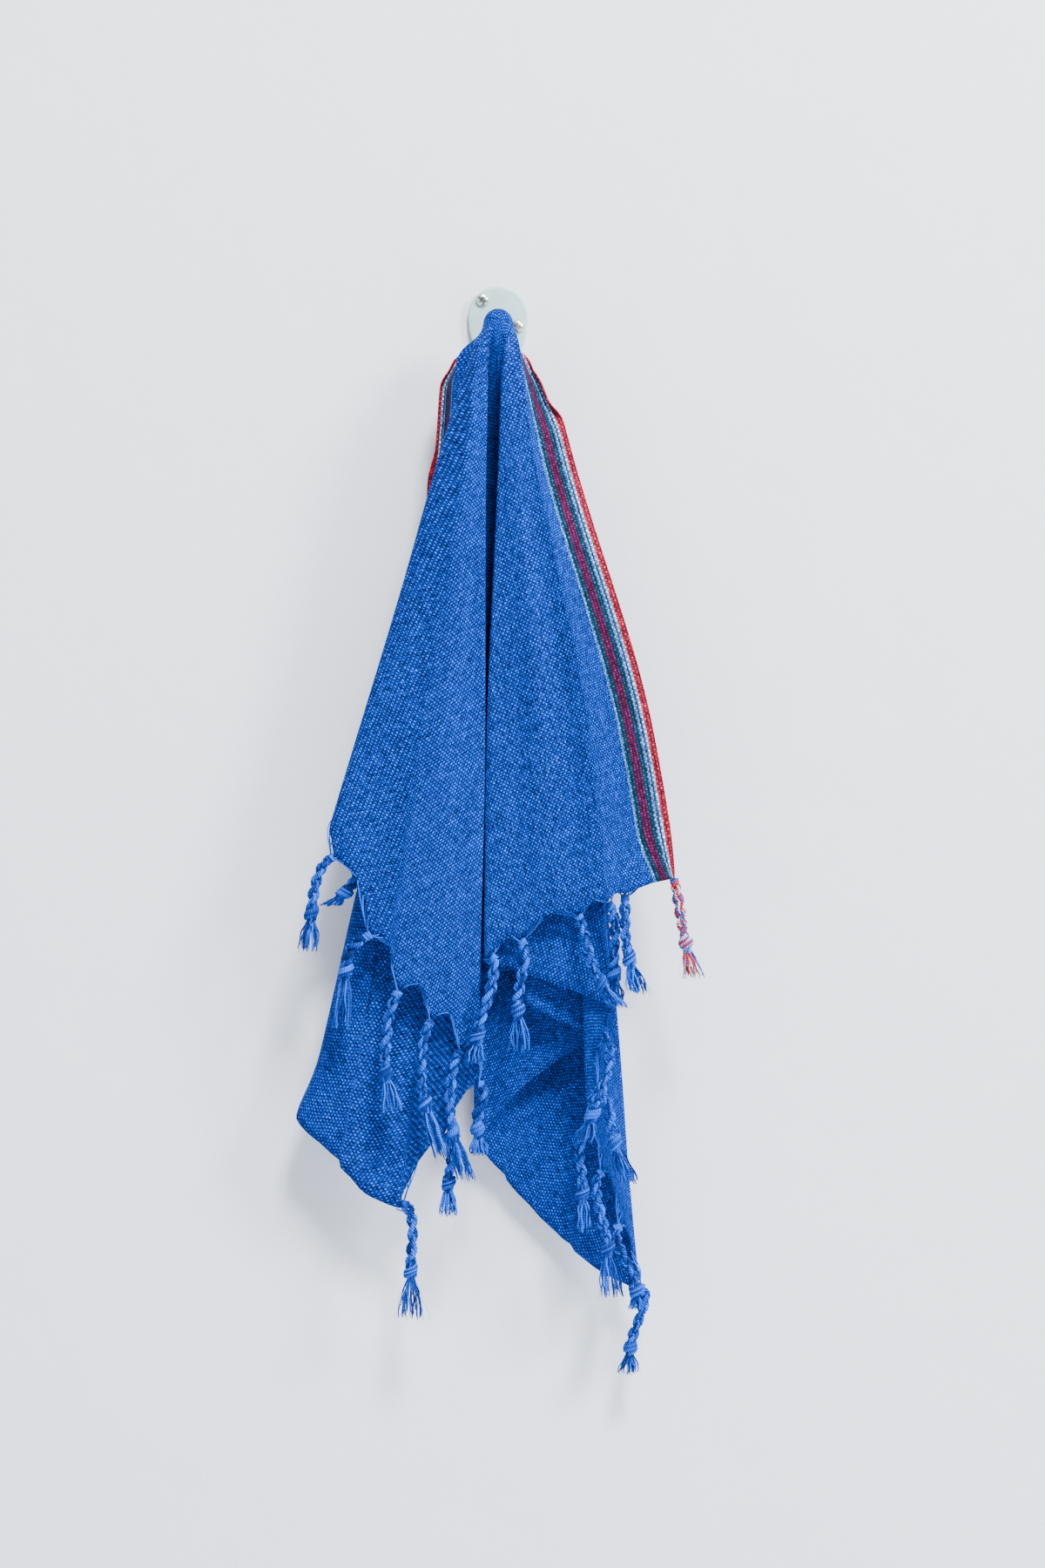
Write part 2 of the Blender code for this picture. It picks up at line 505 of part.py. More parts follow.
def build_tassel(number, row, collection):
    """A tassel from its root at the cloth's end: twist, knot and loose locks, in one body."""
    name, end, u, knot_across, knot_down, tip_across, tip_down, out, spread = row
    root, outward = tassel_root(end, u)
    knot = root + Vector((knot_across, -out, -knot_down))
    tip = root + Vector((tip_across, -out, -tip_down))
    leaving = outward * ROOT_ARM - Vector((0, out * ROOT_FORWARD, 0))
    arriving = (tip - knot).normalized() * KNOT_ARM
    steps = max(4, round((knot - root).length / PLY_STEP))
    bm = bmesh.new()
    start = section_at(root, outward, ROOT_HALF_WIDE, ROOT_HALF_THICK, 0)
    face = bmesh.ops.create_circle(bm, cap_ends=True, segments=4, radius=1)["verts"][0].link_faces[0]
    for corner, place in zip(face.verts, start):
        corner.co = place * MM
    for step in range(1, steps + 1):
        place, direction = bend_through(root, leaving, knot, arriving, step / steps)
        face = pull(bm, face, section_at(place, direction, PLY_LONG, PLY_SHORT, step * PLY_TURN))
    for share, wide, deep in KNOT_RINGS:
        centre = knot + (tip - knot).normalized() * KNOT_LONG * share
        face = pull(bm, face, section_at(centre, tip - knot, wide, deep, steps * PLY_TURN + share))
    fan = bmesh.ops.poke(bm, faces=[face])["faces"]
    below = knot + (tip - knot).normalized() * KNOT_LONG
    tail = tip - below
    for place, part in enumerate(fan):
        away = part.calc_center_median() / MM - below
        away = Vector((away.x, away.y * TAIL_DEPTH, 0)).normalized() * spread
        reach = LOCK_REACH[(place + number) % len(LOCK_REACH)]
        slim = min(spread / LOCK_ROOM, 1)
        for share, wide, fling in LOCK_RINGS:
            centre = below + tail * share * reach + away * fling * reach
            corners = [vert.co / MM for vert in part.verts]
            middle = sum(corners, Vector()) / len(corners)
            shrunk = [centre + (corner - middle).normalized() * wide * slim for corner in corners]
            part = pull(bm, part, shrunk)
    bmesh.ops.holes_fill(bm, edges=[edge for edge in bm.edges if edge.is_boundary], sides=4)
    return new_object(name, bm, collection, "yarn")


def build_plate(collection):
    """The egg-shaped plate, its back on the wall and its front edge rounded."""
    bm = bmesh.new()
    outline = bmesh.ops.create_circle(bm, cap_ends=True, segments=40, radius=1)["verts"]
    for corner in outline:
        high = PLATE_ABOVE if corner.co.y > 0 else PLATE_BELOW
        corner.co = Vector((corner.co.x * PLATE_HALF_WIDTH, 0, PLATE_WIDEST_AT + corner.co.y * high)) * MM
    back = outline[0].link_faces[0]
    front = bmesh.ops.extrude_face_region(bm, geom=[back])["geom"]
    raised = [item for item in front if isinstance(item, bmesh.types.BMVert)]
    bmesh.ops.translate(bm, verts=raised, vec=Vector((0, -PLATE_THICK, 0)) * MM)
    edges = [item for item in front if isinstance(item, bmesh.types.BMEdge)]
    bmesh.ops.bevel(
        bm, geom=edges, offset=PLATE_ROUNDING * MM, segments=3, affect="EDGES", profile=0.5, material=-1
    )
    return new_object("hook", bm, collection, "hook")


def build_arm(collection):
    """The arm as a bent rod: level from the plate, and up into the ball."""
    x, y, z = BALL_AT
    route = [(x, -PLATE_THICK / 2, ARM_HEIGHT)]
    for step in range(7):
        a = math.pi / 2 * step / 6
        route.append((x, y + ARM_BEND * (1 - math.sin(a)), ARM_HEIGHT + ARM_BEND * (1 - math.cos(a))))
    route.append((x, y, z))
    curve = bpy.data.curves.new("arm", "CURVE")
    curve.dimensions = "3D"
    curve.bevel_depth = ARM_RADIUS * MM
    curve.bevel_resolution = 2
    curve.use_fill_caps = True
    spline = curve.splines.new("POLY")
    spline.points.add(len(route) - 1)
    for point, place in zip(spline.points, route):
        point.co = (*(Vector(place) * MM), 1.0)
    rod = bpy.data.objects.new("arm_curve", curve)
    collection.objects.link(rod)
    seen = rod.evaluated_get(bpy.context.evaluated_depsgraph_get())
    bm = bmesh.new()
    bm.from_mesh(bpy.data.meshes.new_from_object(seen))
    bmesh.ops.remove_doubles(bm, verts=bm.verts, dist=0.01 * MM)
    bpy.data.objects.remove(rod)
    return new_object("arm", bm, collection)


def build_ball(collection):
    """The ball that the cloth hangs on."""
    bm = bmesh.new()
    ball = bmesh.ops.create_uvsphere(bm, u_segments=16, v_segments=10, radius=BALL_RADIUS * MM)["verts"]
    bmesh.ops.translate(bm, verts=ball, vec=Vector(BALL_AT) * MM)
    return new_object("ball", bm, collection)


def build_rod(name, at, radius, far, near, collection, segments=16):
    """A short round bar square to the wall, between two distances from it."""
    bm = bmesh.new()
    rod = bmesh.ops.create_cone(
        bm, cap_ends=True, segments=segments, radius1=radius * MM, radius2=radius * MM, depth=(far - near) * MM
    )["verts"]
    bmesh.ops.rotate(bm, verts=rod, cent=(0, 0, 0), matrix=TURN_TO_WALL)
    bmesh.ops.translate(bm, verts=rod, vec=Vector((at[0], -(far + near) / 2, at[1])) * MM)
    return new_object(name, bm, collection)


def combine(thing, other, operation):
    """Boolean of two objects, kept as a modifier, the second one shown as a wire."""
    step = thing.modifiers.new(other.name, "BOOLEAN")
    step.operation = operation
    step.solver = "EXACT"
    step.object = other
    other.hide_render = True
    other.display_type = "WIRE"


def build_screw(name, at, turn, collection, cutters):
    """A pan-head screw: domed head with a cross recess, and its shank in the plate's hole."""
    bm = bmesh.new()
    head = bmesh.ops.create_uvsphere(bm, u_segments=16, v_segments=8, radius=1)["verts"]
    for corner in head:
        high = max(corner.co.z, 0) * SCREW_HEAD_HIGH
        corner.co = Vector((corner.co.x * SCREW_HEAD_RADIUS, corner.co.y * SCREW_HEAD_RADIUS, high)) * MM
    low = [face for face in bm.faces if all(abs(vert.co.z) < 1e-7 for vert in face.verts)]
    bmesh.ops.delete(bm, geom=low, context="FACES")
    bmesh.ops.delete(bm, geom=[vert for vert in bm.verts if not vert.link_faces], context="VERTS")
    bmesh.ops.holes_fill(bm, edges=[edge for edge in bm.edges if edge.is_boundary], sides=0)
    bmesh.ops.rotate(bm, verts=bm.verts, cent=(0, 0, 0), matrix=TURN_TO_WALL)
    bmesh.ops.translate(bm, verts=bm.verts, vec=Vector((at[0], -PLATE_THICK - GAP, at[1])) * MM)
    screw = new_object(name, bm, collection, "screw")
    screw.data.shade_smooth()
    shank = build_rod(name + "_shank", at, SCREW_SHANK_RADIUS, PLATE_THICK + 1, GAP, cutters, 12)
    combine(screw, shank, "UNION")
    long, wide, deep = SCREW_RECESS
    for cross in (0, 90):
        bm = bmesh.new()
        bar = bmesh.ops.create_cube(bm, size=1)["verts"]
        bmesh.ops.scale(bm, verts=bar, vec=Vector((long, deep * 2, wide)) * MM)
        spin = Matrix.Rotation(math.radians(turn + cross), 3, "Y")
        bmesh.ops.rotate(bm, verts=bar, cent=(0, 0, 0), matrix=spin)
        front = -PLATE_THICK - GAP - SCREW_HEAD_HIGH
        bmesh.ops.translate(bm, verts=bar, vec=Vector((at[0], front, at[1])) * MM)
        slot = new_object(f"{name}_slot_{cross}", bm, cutters)
        combine(screw, slot, "DIFFERENCE")


def build():
    """Everything, in a collection for the object and one for what shapes it."""
    for thing in list(bpy.data.objects):
        bpy.data.objects.remove(thing)
    part = bpy.data.collections.new(NAME)
    cutters = bpy.data.collections.new("cutters")
    for collection in (part, cutters):
        bpy.context.scene.collection.children.link(collection)
    hook = build_plate(part)
    combine(hook, build_arm(cutters), "UNION")
    combine(hook, build_ball(cutters), "UNION")
    for name, across, up, turn in SCREWS:
        hole = build_rod(
            name + "_hole", (across, up), SCREW_SHANK_RADIUS + GAP, PLATE_THICK + 1, -1, cutters
        )
        combine(hook, hole, "DIFFERENCE")
        build_screw(name, (across, up), turn, part, cutters)
    build_towel(part)
    for number, row in enumerate(TASSELS):
        build_tassel(number, row, part)


build()
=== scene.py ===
"""A blue cotton hand towel with a striped border and a knotted fringe, hung on a small wall hook.

The cloth hangs by one point near its striped edge, in deep pleats. Sizes are in millimetres on the
piece and in metres in the scene: x to the right, z up, and the wall behind the towel at y = 0.
"""

import math

import bmesh
import bpy
import numpy as np
from mathutils import Matrix, Vector


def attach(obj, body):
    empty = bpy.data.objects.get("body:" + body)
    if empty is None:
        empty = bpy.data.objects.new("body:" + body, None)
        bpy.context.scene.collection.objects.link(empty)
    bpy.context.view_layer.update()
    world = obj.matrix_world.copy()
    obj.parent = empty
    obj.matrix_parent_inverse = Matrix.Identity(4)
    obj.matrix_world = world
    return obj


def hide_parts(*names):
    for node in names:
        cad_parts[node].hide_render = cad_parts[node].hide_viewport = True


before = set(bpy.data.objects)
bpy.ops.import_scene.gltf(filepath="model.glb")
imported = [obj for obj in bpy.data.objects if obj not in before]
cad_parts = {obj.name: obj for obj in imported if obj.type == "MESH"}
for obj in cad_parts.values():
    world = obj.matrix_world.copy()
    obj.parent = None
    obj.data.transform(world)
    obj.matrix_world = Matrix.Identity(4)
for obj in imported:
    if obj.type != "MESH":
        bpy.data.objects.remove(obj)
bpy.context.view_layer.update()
MM = 0.001


# The room: a painted plaster wall that the hook is screwed to, and a pale floor well below. A soft lamp
# hangs above the camera, weaker ones stand at its sides and behind the wall, and the sky adds the rest.
def new_material(name, values):
    """A material, its node tree, and its shader with its own values."""
    material = bpy.data.materials.new(name)
    material.use_nodes = True
    shader = material.node_tree.nodes["Principled BSDF"]
    for key, value in values.items():
        shader.inputs[key].default_value = value
    return material, material.node_tree, shader


def add_node(tree, kind, inputs=(), **settings):
    """A node with its settings, and with outputs or values in its sockets."""
    node = tree.nodes.new("ShaderNode" + kind)
    for key, value in settings.items():
        setattr(node, key, value)
    for key, given in dict(inputs).items():
        if isinstance(given, bpy.types.NodeSocket):
            tree.links.new(given, node.inputs[key])
        else:
            node.inputs[key].default_value = given
    return node


def noise(tree, place, scale, detail, roughness=0.5):
    """Output of a noise texture."""
    inputs = {"Vector": place, "Scale": scale, "Detail": detail, "Roughness": roughness}
    return add_node(tree, "TexNoise", inputs).outputs["Fac"]


def roughen(tree, shader, height, strength, distance):
    """Gives a shader's surface the relief of a height."""
    bump = add_node(tree, "Bump", {"Height": height, "Strength": strength, "Distance": distance})
    tree.links.new(bump.outputs["Normal"], shader.inputs["Normal"])


def in_scene(name, data):
    """New object of a mesh, curve, lamp or camera, in the scene."""
    thing = bpy.data.objects.new(name, data)
    bpy.context.scene.collection.objects.link(thing)
    return thing


WALL_COLOUR = (0.715, 0.750, 0.82)
WALL_BACK, FLOOR_DROP, ROOM_HALF = 0.0004, 1.25, 4.0
LAMPS_AIM = Vector((0, 0, -0.35))
LAMPS = (
    # name, where it stands, width, watts
    ("lamp_front", (0.8, -2.4, 2.9), 1.0, 420.0),
    ("lamp_right", (2.7, -1.7, 1.3), 0.9, 215.0),
    ("lamp_left", (-2.4, -2.0, 0.4), 1.6, 25.0),
    ("lamp_behind", (0.6, 2.6, 1.2), 1.6, 60.0),
)
SKY_COLOUR, SKY_STRENGTH = (0.93, 0.96, 1.0, 1.0), 0.24
CAMERA_AT, CAMERA_LENS, CAMERA_SENSOR = (0.0174, -1.700, -0.321), 55.0, 36.0


def painted_plaster():
    """Pale wall paint over slightly uneven plaster. Only the room's side of the wall shows."""
    material, tree, shader = new_material(
        "painted_plaster", {"Base Color": (*WALL_COLOUR, 1.0), "Roughness": 0.75}
    )
    place = add_node(tree, "TexCoord").outputs["Object"]
    roughen(tree, shader, noise(tree, place, 16.0, 5.0), 0.4, 0.004)
    behind = add_node(tree, "NewGeometry").outputs["Backfacing"]
    gone = add_node(tree, "BsdfTransparent").outputs[0]
    shown = add_node(tree, "MixShader", {0: behind, 1: shader.outputs[0], 2: gone})
    tree.links.new(shown.outputs[0], tree.nodes["Material Output"].inputs["Surface"])
    return material


def stand_plane(name, turn, at, material):
    """A flat square of the room."""
    bm = bmesh.new()
    bmesh.ops.create_grid(bm, x_segments=1, y_segments=1, size=ROOM_HALF)
    bmesh.ops.rotate(bm, verts=bm.verts, cent=(0, 0, 0), matrix=Matrix.Rotation(turn, 3, "X"))
    bmesh.ops.translate(bm, verts=bm.verts, vec=at)
    mesh = bpy.data.meshes.new(name)
    bm.to_mesh(mesh)
    bm.free()
    mesh.materials.append(material)
    in_scene(name, mesh)


plaster = painted_plaster()
stand_plane("wall", math.pi / 2, (0, WALL_BACK, FLOOR_DROP), plaster)
stand_plane("floor", 0.0, (0, 0, -FLOOR_DROP), plaster)

for name, stand, width, watts in LAMPS:
    lamp = in_scene(name, bpy.data.lights.new(name, "AREA"))
    lamp.data.shape, lamp.data.size, lamp.data.energy = "DISK", width, watts
    lamp.location = stand
    lamp.rotation_euler = (LAMPS_AIM - Vector(stand)).to_track_quat("-Z", "Y").to_euler()

sky = bpy.data.worlds.new("room_light")
bpy.context.scene.world = sky
sky.use_nodes = True
sky.node_tree.nodes["Background"].inputs["Color"].default_value = SKY_COLOUR
sky.node_tree.nodes["Background"].inputs["Strength"].default_value = SKY_STRENGTH

camera = in_scene("camera", bpy.data.cameras.new("camera"))
camera.data.lens, camera.data.sensor_width = CAMERA_LENS, CAMERA_SENSOR
camera.location = CAMERA_AT
camera.rotation_euler = (math.pi / 2, 0, 0)
bpy.context.scene.camera = camera


# The hook: an egg-shaped plate of moulded plastic, flat on the wall, with an arm that leaves it level
# and turns up into a ball. It is one moulding in pale grey-green, with a soft edge and a satin face.
PLATE_HALF_WIDTH, PLATE_WIDEST_AT = 21.3, 10.0
PLATE_ABOVE, PLATE_BELOW = 21.4, 35.0
PLATE_THICK, PLATE_ROUNDING = 4.0, 1.6
ARM_RADIUS, ARM_HEIGHT, ARM_BEND, ARM_STEPS = 3.0, -18.0, 9.0, 16
BALL_RADIUS, BALL_AT = 8.6, (0.6, -40.0, -2.0)
SCREW_SHANK_RADIUS, PLASTIC_GAP = 1.9, 0.3
SHARP_FROM = 40
SCREWS = (
    # name, across, up, turn of its cross in degrees
    ("screw_upper", -11.0, 21.5, 30.0),
    ("screw_lower", 13.7, 2.9, 12.0),
)


def arithmetic(tree, operation, *given, clamp=False):
    """Output of a Math node on outputs or numbers."""
    return add_node(tree, "Math", enumerate(given), operation=operation, use_clamp=clamp).outputs[0]


def colour_ramp(tree, driver, stops, steps=False):
    """Output of a Color Ramp with (place, colour) stops."""
    node = add_node(tree, "ValToRGB", {"Fac": driver})
    node.color_ramp.interpolation = "CONSTANT" if steps else "LINEAR"
    elements = node.color_ramp.elements
    while len(elements) < len(stops):
        elements.new(1.0)
    for element, (place, colour) in zip(elements, stops):
        element.position = place
        element.color = (*colour, 1.0)
    return node.outputs["Color"]


def hard_finish(name, metallic, cloud, tones, gloss, skin, relief):
    """A hard finish. One noise gives its tone and its gloss, and another the relief of its skin."""
    material, tree, shader = new_material(name, {"Metallic": metallic})
    place = add_node(tree, "TexCoord").outputs["Object"]
    cloudy = noise(tree, place, *cloud)
    tree.links.new(colour_ramp(tree, cloudy, tones), shader.inputs["Base Color"])
    tree.links.new(arithmetic(tree, "MULTIPLY_ADD", cloudy, *gloss), shader.inputs["Roughness"])
    roughen(tree, shader, noise(tree, place, *skin), *relief)
    return material


def new_piece(name, bm, material, smooth_below=SHARP_FROM):
    """Object of a finished bmesh, smooth but for its sharp edges."""
    bmesh.ops.recalc_face_normals(bm, faces=bm.faces)
    mesh = bpy.data.meshes.new(name)
    bm.to_mesh(mesh)
    bm.free()
    mesh.materials.append(material)
    mesh.shade_smooth()
    mesh.set_sharp_from_angle(angle=math.radians(smooth_below))
    return in_scene(name, mesh)


def cut_or_join(piece, other, operation):
    """Boolean of two pieces, made real, and the second one removed."""
    step = piece.modifiers.new(other.name, "BOOLEAN")
    step.operation, step.solver, step.object = operation, "EXACT", other
    made = bpy.data.meshes.new_from_object(piece.evaluated_get(bpy.context.evaluated_depsgraph_get()))
    piece.modifiers.clear()
    piece.data = made
    made.shade_smooth()
    made.set_sharp_from_angle(angle=math.radians(SHARP_FROM))
    bpy.data.objects.remove(other)


def screw_hole(across, up, material):
    """A round bar through the plate, which is cut out of it for a screw."""
    bm = bmesh.new()
    radius = (SCREW_SHANK_RADIUS + PLASTIC_GAP) * MM
    bar = bmesh.ops.create_cone(
        bm, cap_ends=True, segments=48, radius1=radius, radius2=radius, depth=(PLATE_THICK + 2) * MM
    )["verts"]
    bmesh.ops.rotate(bm, verts=bar, cent=(0, 0, 0), matrix=Matrix.Rotation(math.pi / 2, 3, "X"))
    bmesh.ops.translate(bm, verts=bar, vec=Vector((across, -PLATE_THICK / 2, up)) * MM)
    return new_piece("hole", bm, material)


def hook_plate(material):
    """The egg-shaped plate, its front edge rounded."""
    bm = bmesh.new()
    outline = bmesh.ops.create_circle(bm, cap_ends=True, segments=120, radius=1)["verts"]
    for corner in outline:
        high = PLATE_ABOVE if corner.co.y > 0 else PLATE_BELOW
        corner.co = Vector((corner.co.x * PLATE_HALF_WIDTH, 0, PLATE_WIDEST_AT + corner.co.y * high)) * MM
    front = bmesh.ops.extrude_face_region(bm, geom=[outline[0].link_faces[0]])["geom"]
    raised = [item for item in front if isinstance(item, bmesh.types.BMVert)]
    bmesh.ops.translate(bm, verts=raised, vec=Vector((0, -PLATE_THICK, 0)) * MM)
    rim = [item for item in front if isinstance(item, bmesh.types.BMEdge)]
    bmesh.ops.bevel(
        bm, geom=rim, offset=PLATE_ROUNDING * MM, segments=6, affect="EDGES", profile=0.5, material=-1
    )
    return new_piece("wall_hook", bm, material)


def hook_arm(material):
    """The arm, a bent round bar, and the ball at its end."""
    x, y, z = BALL_AT
    route = [(x, -PLATE_THICK / 2, ARM_HEIGHT)]
    for step in range(ARM_STEPS + 1):
        a = math.pi / 2 * step / ARM_STEPS
        route.append((x, y + ARM_BEND * (1 - math.sin(a)), ARM_HEIGHT + ARM_BEND * (1 - math.cos(a))))
    route.append((x, y, z))
    bm = bmesh.new()
    face = bmesh.ops.create_circle(bm, cap_ends=True, segments=28, radius=1)["verts"][0].link_faces[0]
    for number, place in enumerate(route):
        ahead = Vector(route[min(number + 1, len(route) - 1)]) - Vector(route[max(number - 1, 0)])
        ahead.normalize()
        up = Vector((1, 0, 0)).cross(ahead)
        if number:
            face = bmesh.ops.extrude_discrete_faces(bm, faces=[face])["faces"][0]
        for step, corner in enumerate(face.verts):
            a = 2 * math.pi * step / len(face.verts)
            side = Vector((1, 0, 0)) * math.cos(a) + up * math.sin(a)
            corner.co = (Vector(place) + side * ARM_RADIUS) * MM
    bmesh.ops.holes_fill(bm, edges=[edge for edge in bm.edges if edge.is_boundary], sides=0)
    arm = new_piece("arm", bm, material)
    bm = bmesh.new()
    ball = bmesh.ops.create_uvsphere(bm, u_segments=40, v_segments=24, radius=BALL_RADIUS * MM)["verts"]
    bmesh.ops.translate(bm, verts=ball, vec=Vector(BALL_AT) * MM)
    cut_or_join(arm, new_piece("ball", bm, material), "UNION")
    return arm


# Satin plastic with a faint orange-peel skin, and a little dust in its tone
plastic = hard_finish(
    "moulded_plastic", 0.0, cloud=(60.0, 4.0), gloss=(0.25, 0.27), skin=(900.0, 2.0), relief=(0.1, 0.0002),
    tones=((0.3, (0.35, 0.51, 0.50)), (0.75, (0.40, 0.57, 0.56))),
)
wall_hook = hook_plate(plastic)
cut_or_join(wall_hook, hook_arm(plastic), "UNION")
for name, across, up, turn in SCREWS:
    cut_or_join(wall_hook, screw_hole(across, up, plastic), "DIFFERENCE")
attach(wall_hook, "root")
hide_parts("hook")


# Two pan-head steel screws with a cross recess, zinc plated and gone a little dull, driven through the
# plate into the wall: one at its upper left, the other at its lower right, half under the cloth.
SCREW_HEAD_RADIUS, SCREW_HEAD_HIGH, SCREW_EDGE, SCREW_HEAD_STEPS = 4.4, 2.6, 0.7, 8
RECESS_LONG, RECESS_WIDE, RECESS_DEEP = 5.2, 1.1, 1.4


def drive_screw(name, across, up, turn, material):
    """One screw: its head turned from a profile, its shank, and the cross cut into the head."""
    seat = PLATE_THICK + PLASTIC_GAP
    bm = bmesh.new()
    profile = [(0.0, SCREW_HEAD_HIGH)]
    for step in range(1, SCREW_HEAD_STEPS + 1):
        a = math.pi / 2 * step / SCREW_HEAD_STEPS
        reach, high = math.sin(a), math.cos(a)
        profile.append((SCREW_HEAD_RADIUS * reach, SCREW_EDGE + (SCREW_HEAD_HIGH - SCREW_EDGE) * high))
    profile += [(SCREW_HEAD_RADIUS - 0.15, 0.0), (SCREW_SHANK_RADIUS, 0.0)]
    profile += [(SCREW_SHANK_RADIUS, PLASTIC_GAP - seat), (0.0, PLASTIC_GAP - seat)]
    corners = [bm.verts.new((reach * MM, -(seat + high) * MM, 0)) for reach, high in profile]
    line = [bm.edges.new(pair) for pair in zip(corners, corners[1:])]
    bmesh.ops.spin(
        bm, geom=corners + line, cent=(0, 0, 0), axis=(0, 1, 0), angle=2 * math.pi, steps=48, use_merge=True
    )
    bmesh.ops.remove_doubles(bm, verts=bm.verts, dist=0.001 * MM)
    bmesh.ops.translate(bm, verts=bm.verts, vec=Vector((across, 0, up)) * MM)
    screw = new_piece(name + "_steel", bm, material)
    for cross in (0, 90):
        bm = bmesh.new()
        bar = bmesh.ops.create_cube(bm, size=1)["verts"]
        bmesh.ops.scale(bm, verts=bar, vec=Vector((RECESS_LONG, RECESS_DEEP * 2, RECESS_WIDE)) * MM)
        spin = Matrix.Rotation(math.radians(turn + cross), 3, "Y")
        bmesh.ops.rotate(bm, verts=bar, cent=(0, 0, 0), matrix=spin)
        bmesh.ops.translate(bm, verts=bar, vec=Vector((across, -seat - SCREW_HEAD_HIGH, up)) * MM)
        cut_or_join(screw, new_piece("recess", bm, material), "DIFFERENCE")
    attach(screw, "root")
    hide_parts(name)


# Plated steel, worn to a lighter tone in flecks
zinc = hard_finish(
    "dull_zinc", 1.0, cloud=(420.0, 6.0), gloss=(0.35, 0.14), skin=(420.0, 6.0), relief=(0.2, 0.0001),
    tones=((0.35, (0.44, 0.45, 0.45)), (0.7, (0.74, 0.74, 0.72))),
)
for name, across, up, turn in SCREWS:
    drive_screw(name, across, up, turn, zinc)


# The towel: one width of plain-woven cotton, 600 mm wide and 700 long, longer along its warp. Both long
# sides are selvedges, one of them striped. It hangs from a point 25 mm inside the striped one, so its
# threads fan out round the hook and the cloth falls in pleats, each a line of the fan.
END, SIDE = {"right": 418.0, "left": 282.0}, {"right": 1, "left": -1}
PLAIN_EDGE, STRIPED_EDGE = 575.0, 25.0
PLAIN_CORNERS = (math.atan2(PLAIN_EDGE, END["right"]), math.atan2(PLAIN_EDGE, -END["left"]))
ROUNDED_REACH, ROUNDED_SHARES = math.radians(4), (-1.0, -0.6, -0.2, 0.2, 0.6, 1.0)
CLOTH_THICK = 0.9

# Each end is drawn up in arches between its tassels, hardly at its striped corner
SCALLOP_DEEP, SCALLOP_WIDE, SCALLOP_MOST, STRIPED_SCALLOP = 8.0, 46.0, 70.0, 0.15

# The cloth lies on the ball as a bell, flares a little below it, and then gathers into the folds
BELL, BELL_FLARE = 9.9, 0.16
BELL_END = BELL * math.radians(75)
TOP = (BALL_AT[0], BALL_AT[1], BALL_AT[2] + BELL)
FOLDS_FROM, FOLDS_FULL, FOLDS_LEVEL = BELL_END, 34.0, 12.0
LEVELS = (16.0, 36.0, 100.0, 300.0, 600.0)
FOLDS = (
    # name, flat angle of its line, way it turns, radius, across at LEVELS, out from the wall at LEVELS,
    # and the drop of its rim
    ("band_right", 0.0, 0, 0.0, (12.0, 15.5, 28, 83, 126), (43.5, 49.5, 60, 66, 66), 399),
    ("right_ridge", 6.0, -1, 12.0, (12.0, 14.5, 24, 64, 92), (48.0, 55.0, 65, 72, 70), 409),
    ("right_crease", 20.0, -1, 2.2, (8.0, 5.8, 3.2, -4.6, -7.5), (53.5, 58.8, 62, 58, 54), 450),
    ("tuck_1", 33.0, 1, 2.2, (6.0, 9.8, 22, 62, 84), (50.6, 54.6, 53, 50, 50), 483),
    ("tuck_2", 42.0, -1, 2.0, (5.2, 5.8, 16, 50, 66), (50.7, 52.4, 48, 44, 44), 566),
    ("plain_right", 53.6, 1, 2.4, (4.4, 10.0, 22, 62, 89), (50.8, 49.0, 41, 30, 28), 675),
    ("back_swell", 58.5, 1, 14.0, (3.7, 8.8, 14, 34, 48), (50.9, 46.0, 33, 18, 15), 662),
    ("back_belly", 63.2, 1, 14.0, (3.0, 6.0, 5, 2, 6), (51.0, 44.2, 30, 17, 14), 618),
    ("notch", 65.5, 1, 2.2, (2.3, 2.5, -1, -10, -15), (51.1, 45.0, 33, 22, 20), 567),
    ("inner_right", 75.6, -1, 2.2, (1.5, 5.6, 12, 48, 72), (51.2, 47.8, 40, 33, 32), 502),
    ("inner_left", 80.0, -1, 5.0, (0.7, 3.0, 6, 15, 27), (51.2, 50.0, 46.5, 44, 44), 488),
    ("hitch", 86.0, 1, 5.0, (-0.2, 0.5, 1, 5, 16), (51.2, 50.2, 45, 38, 38), 444),
    ("hidden_swell", 97.0, 1, 12.0, (-1.6, -4.5, -10, -42, -62), (51.1, 47.9, 34, 20, 20), 505),
    ("lobe_left", 107.0, 1, 8.0, (-3.0, -8.0, -22, -71, -141), (50.9, 45.5, 37.5, 27.5, 24), 550),
    ("lobe_belly", 111.0, 1, 12.0, (-4.0, -7.2, -18, -58, -110), (50.7, 48.4, 43.5, 40.6, 44), 603),
    ("corner_left", 116.1, -1, 10.0, (-5.2, -6.6, -12, -34, -66), (50.5, 50.8, 46, 43, 43), 624),
    ("left_crease", 119.0, -1, 2.2, (-9.0, -9.2, -9.4, -11.2, -16.5), (53.5, 59.3, 62, 58, 54), 525),
    ("left_swell", 127.5, -1, 14.0, (-10.6, -13.2, -20, -52, -92), (51.8, 59.8, 68, 67, 62), 461),
    ("left_edge", 135.0, -1, 2.8, (-11.8, -16.8, -35.5, -94.5, -185), (48.5, 53.2, 55, 53, 50), 363),
    ("left_tuck", 158.0, 1, 2.2, (-11.5, -12.4, -15.5, -25, -40), (44.5, 50.0, 54, 55, 54), 300),
    ("band_left", 180.0, 0, 0.0, (-12.5, -28.0, -33, -62, -118), (41.0, 44.3, 47, 47, 47), 272),
)

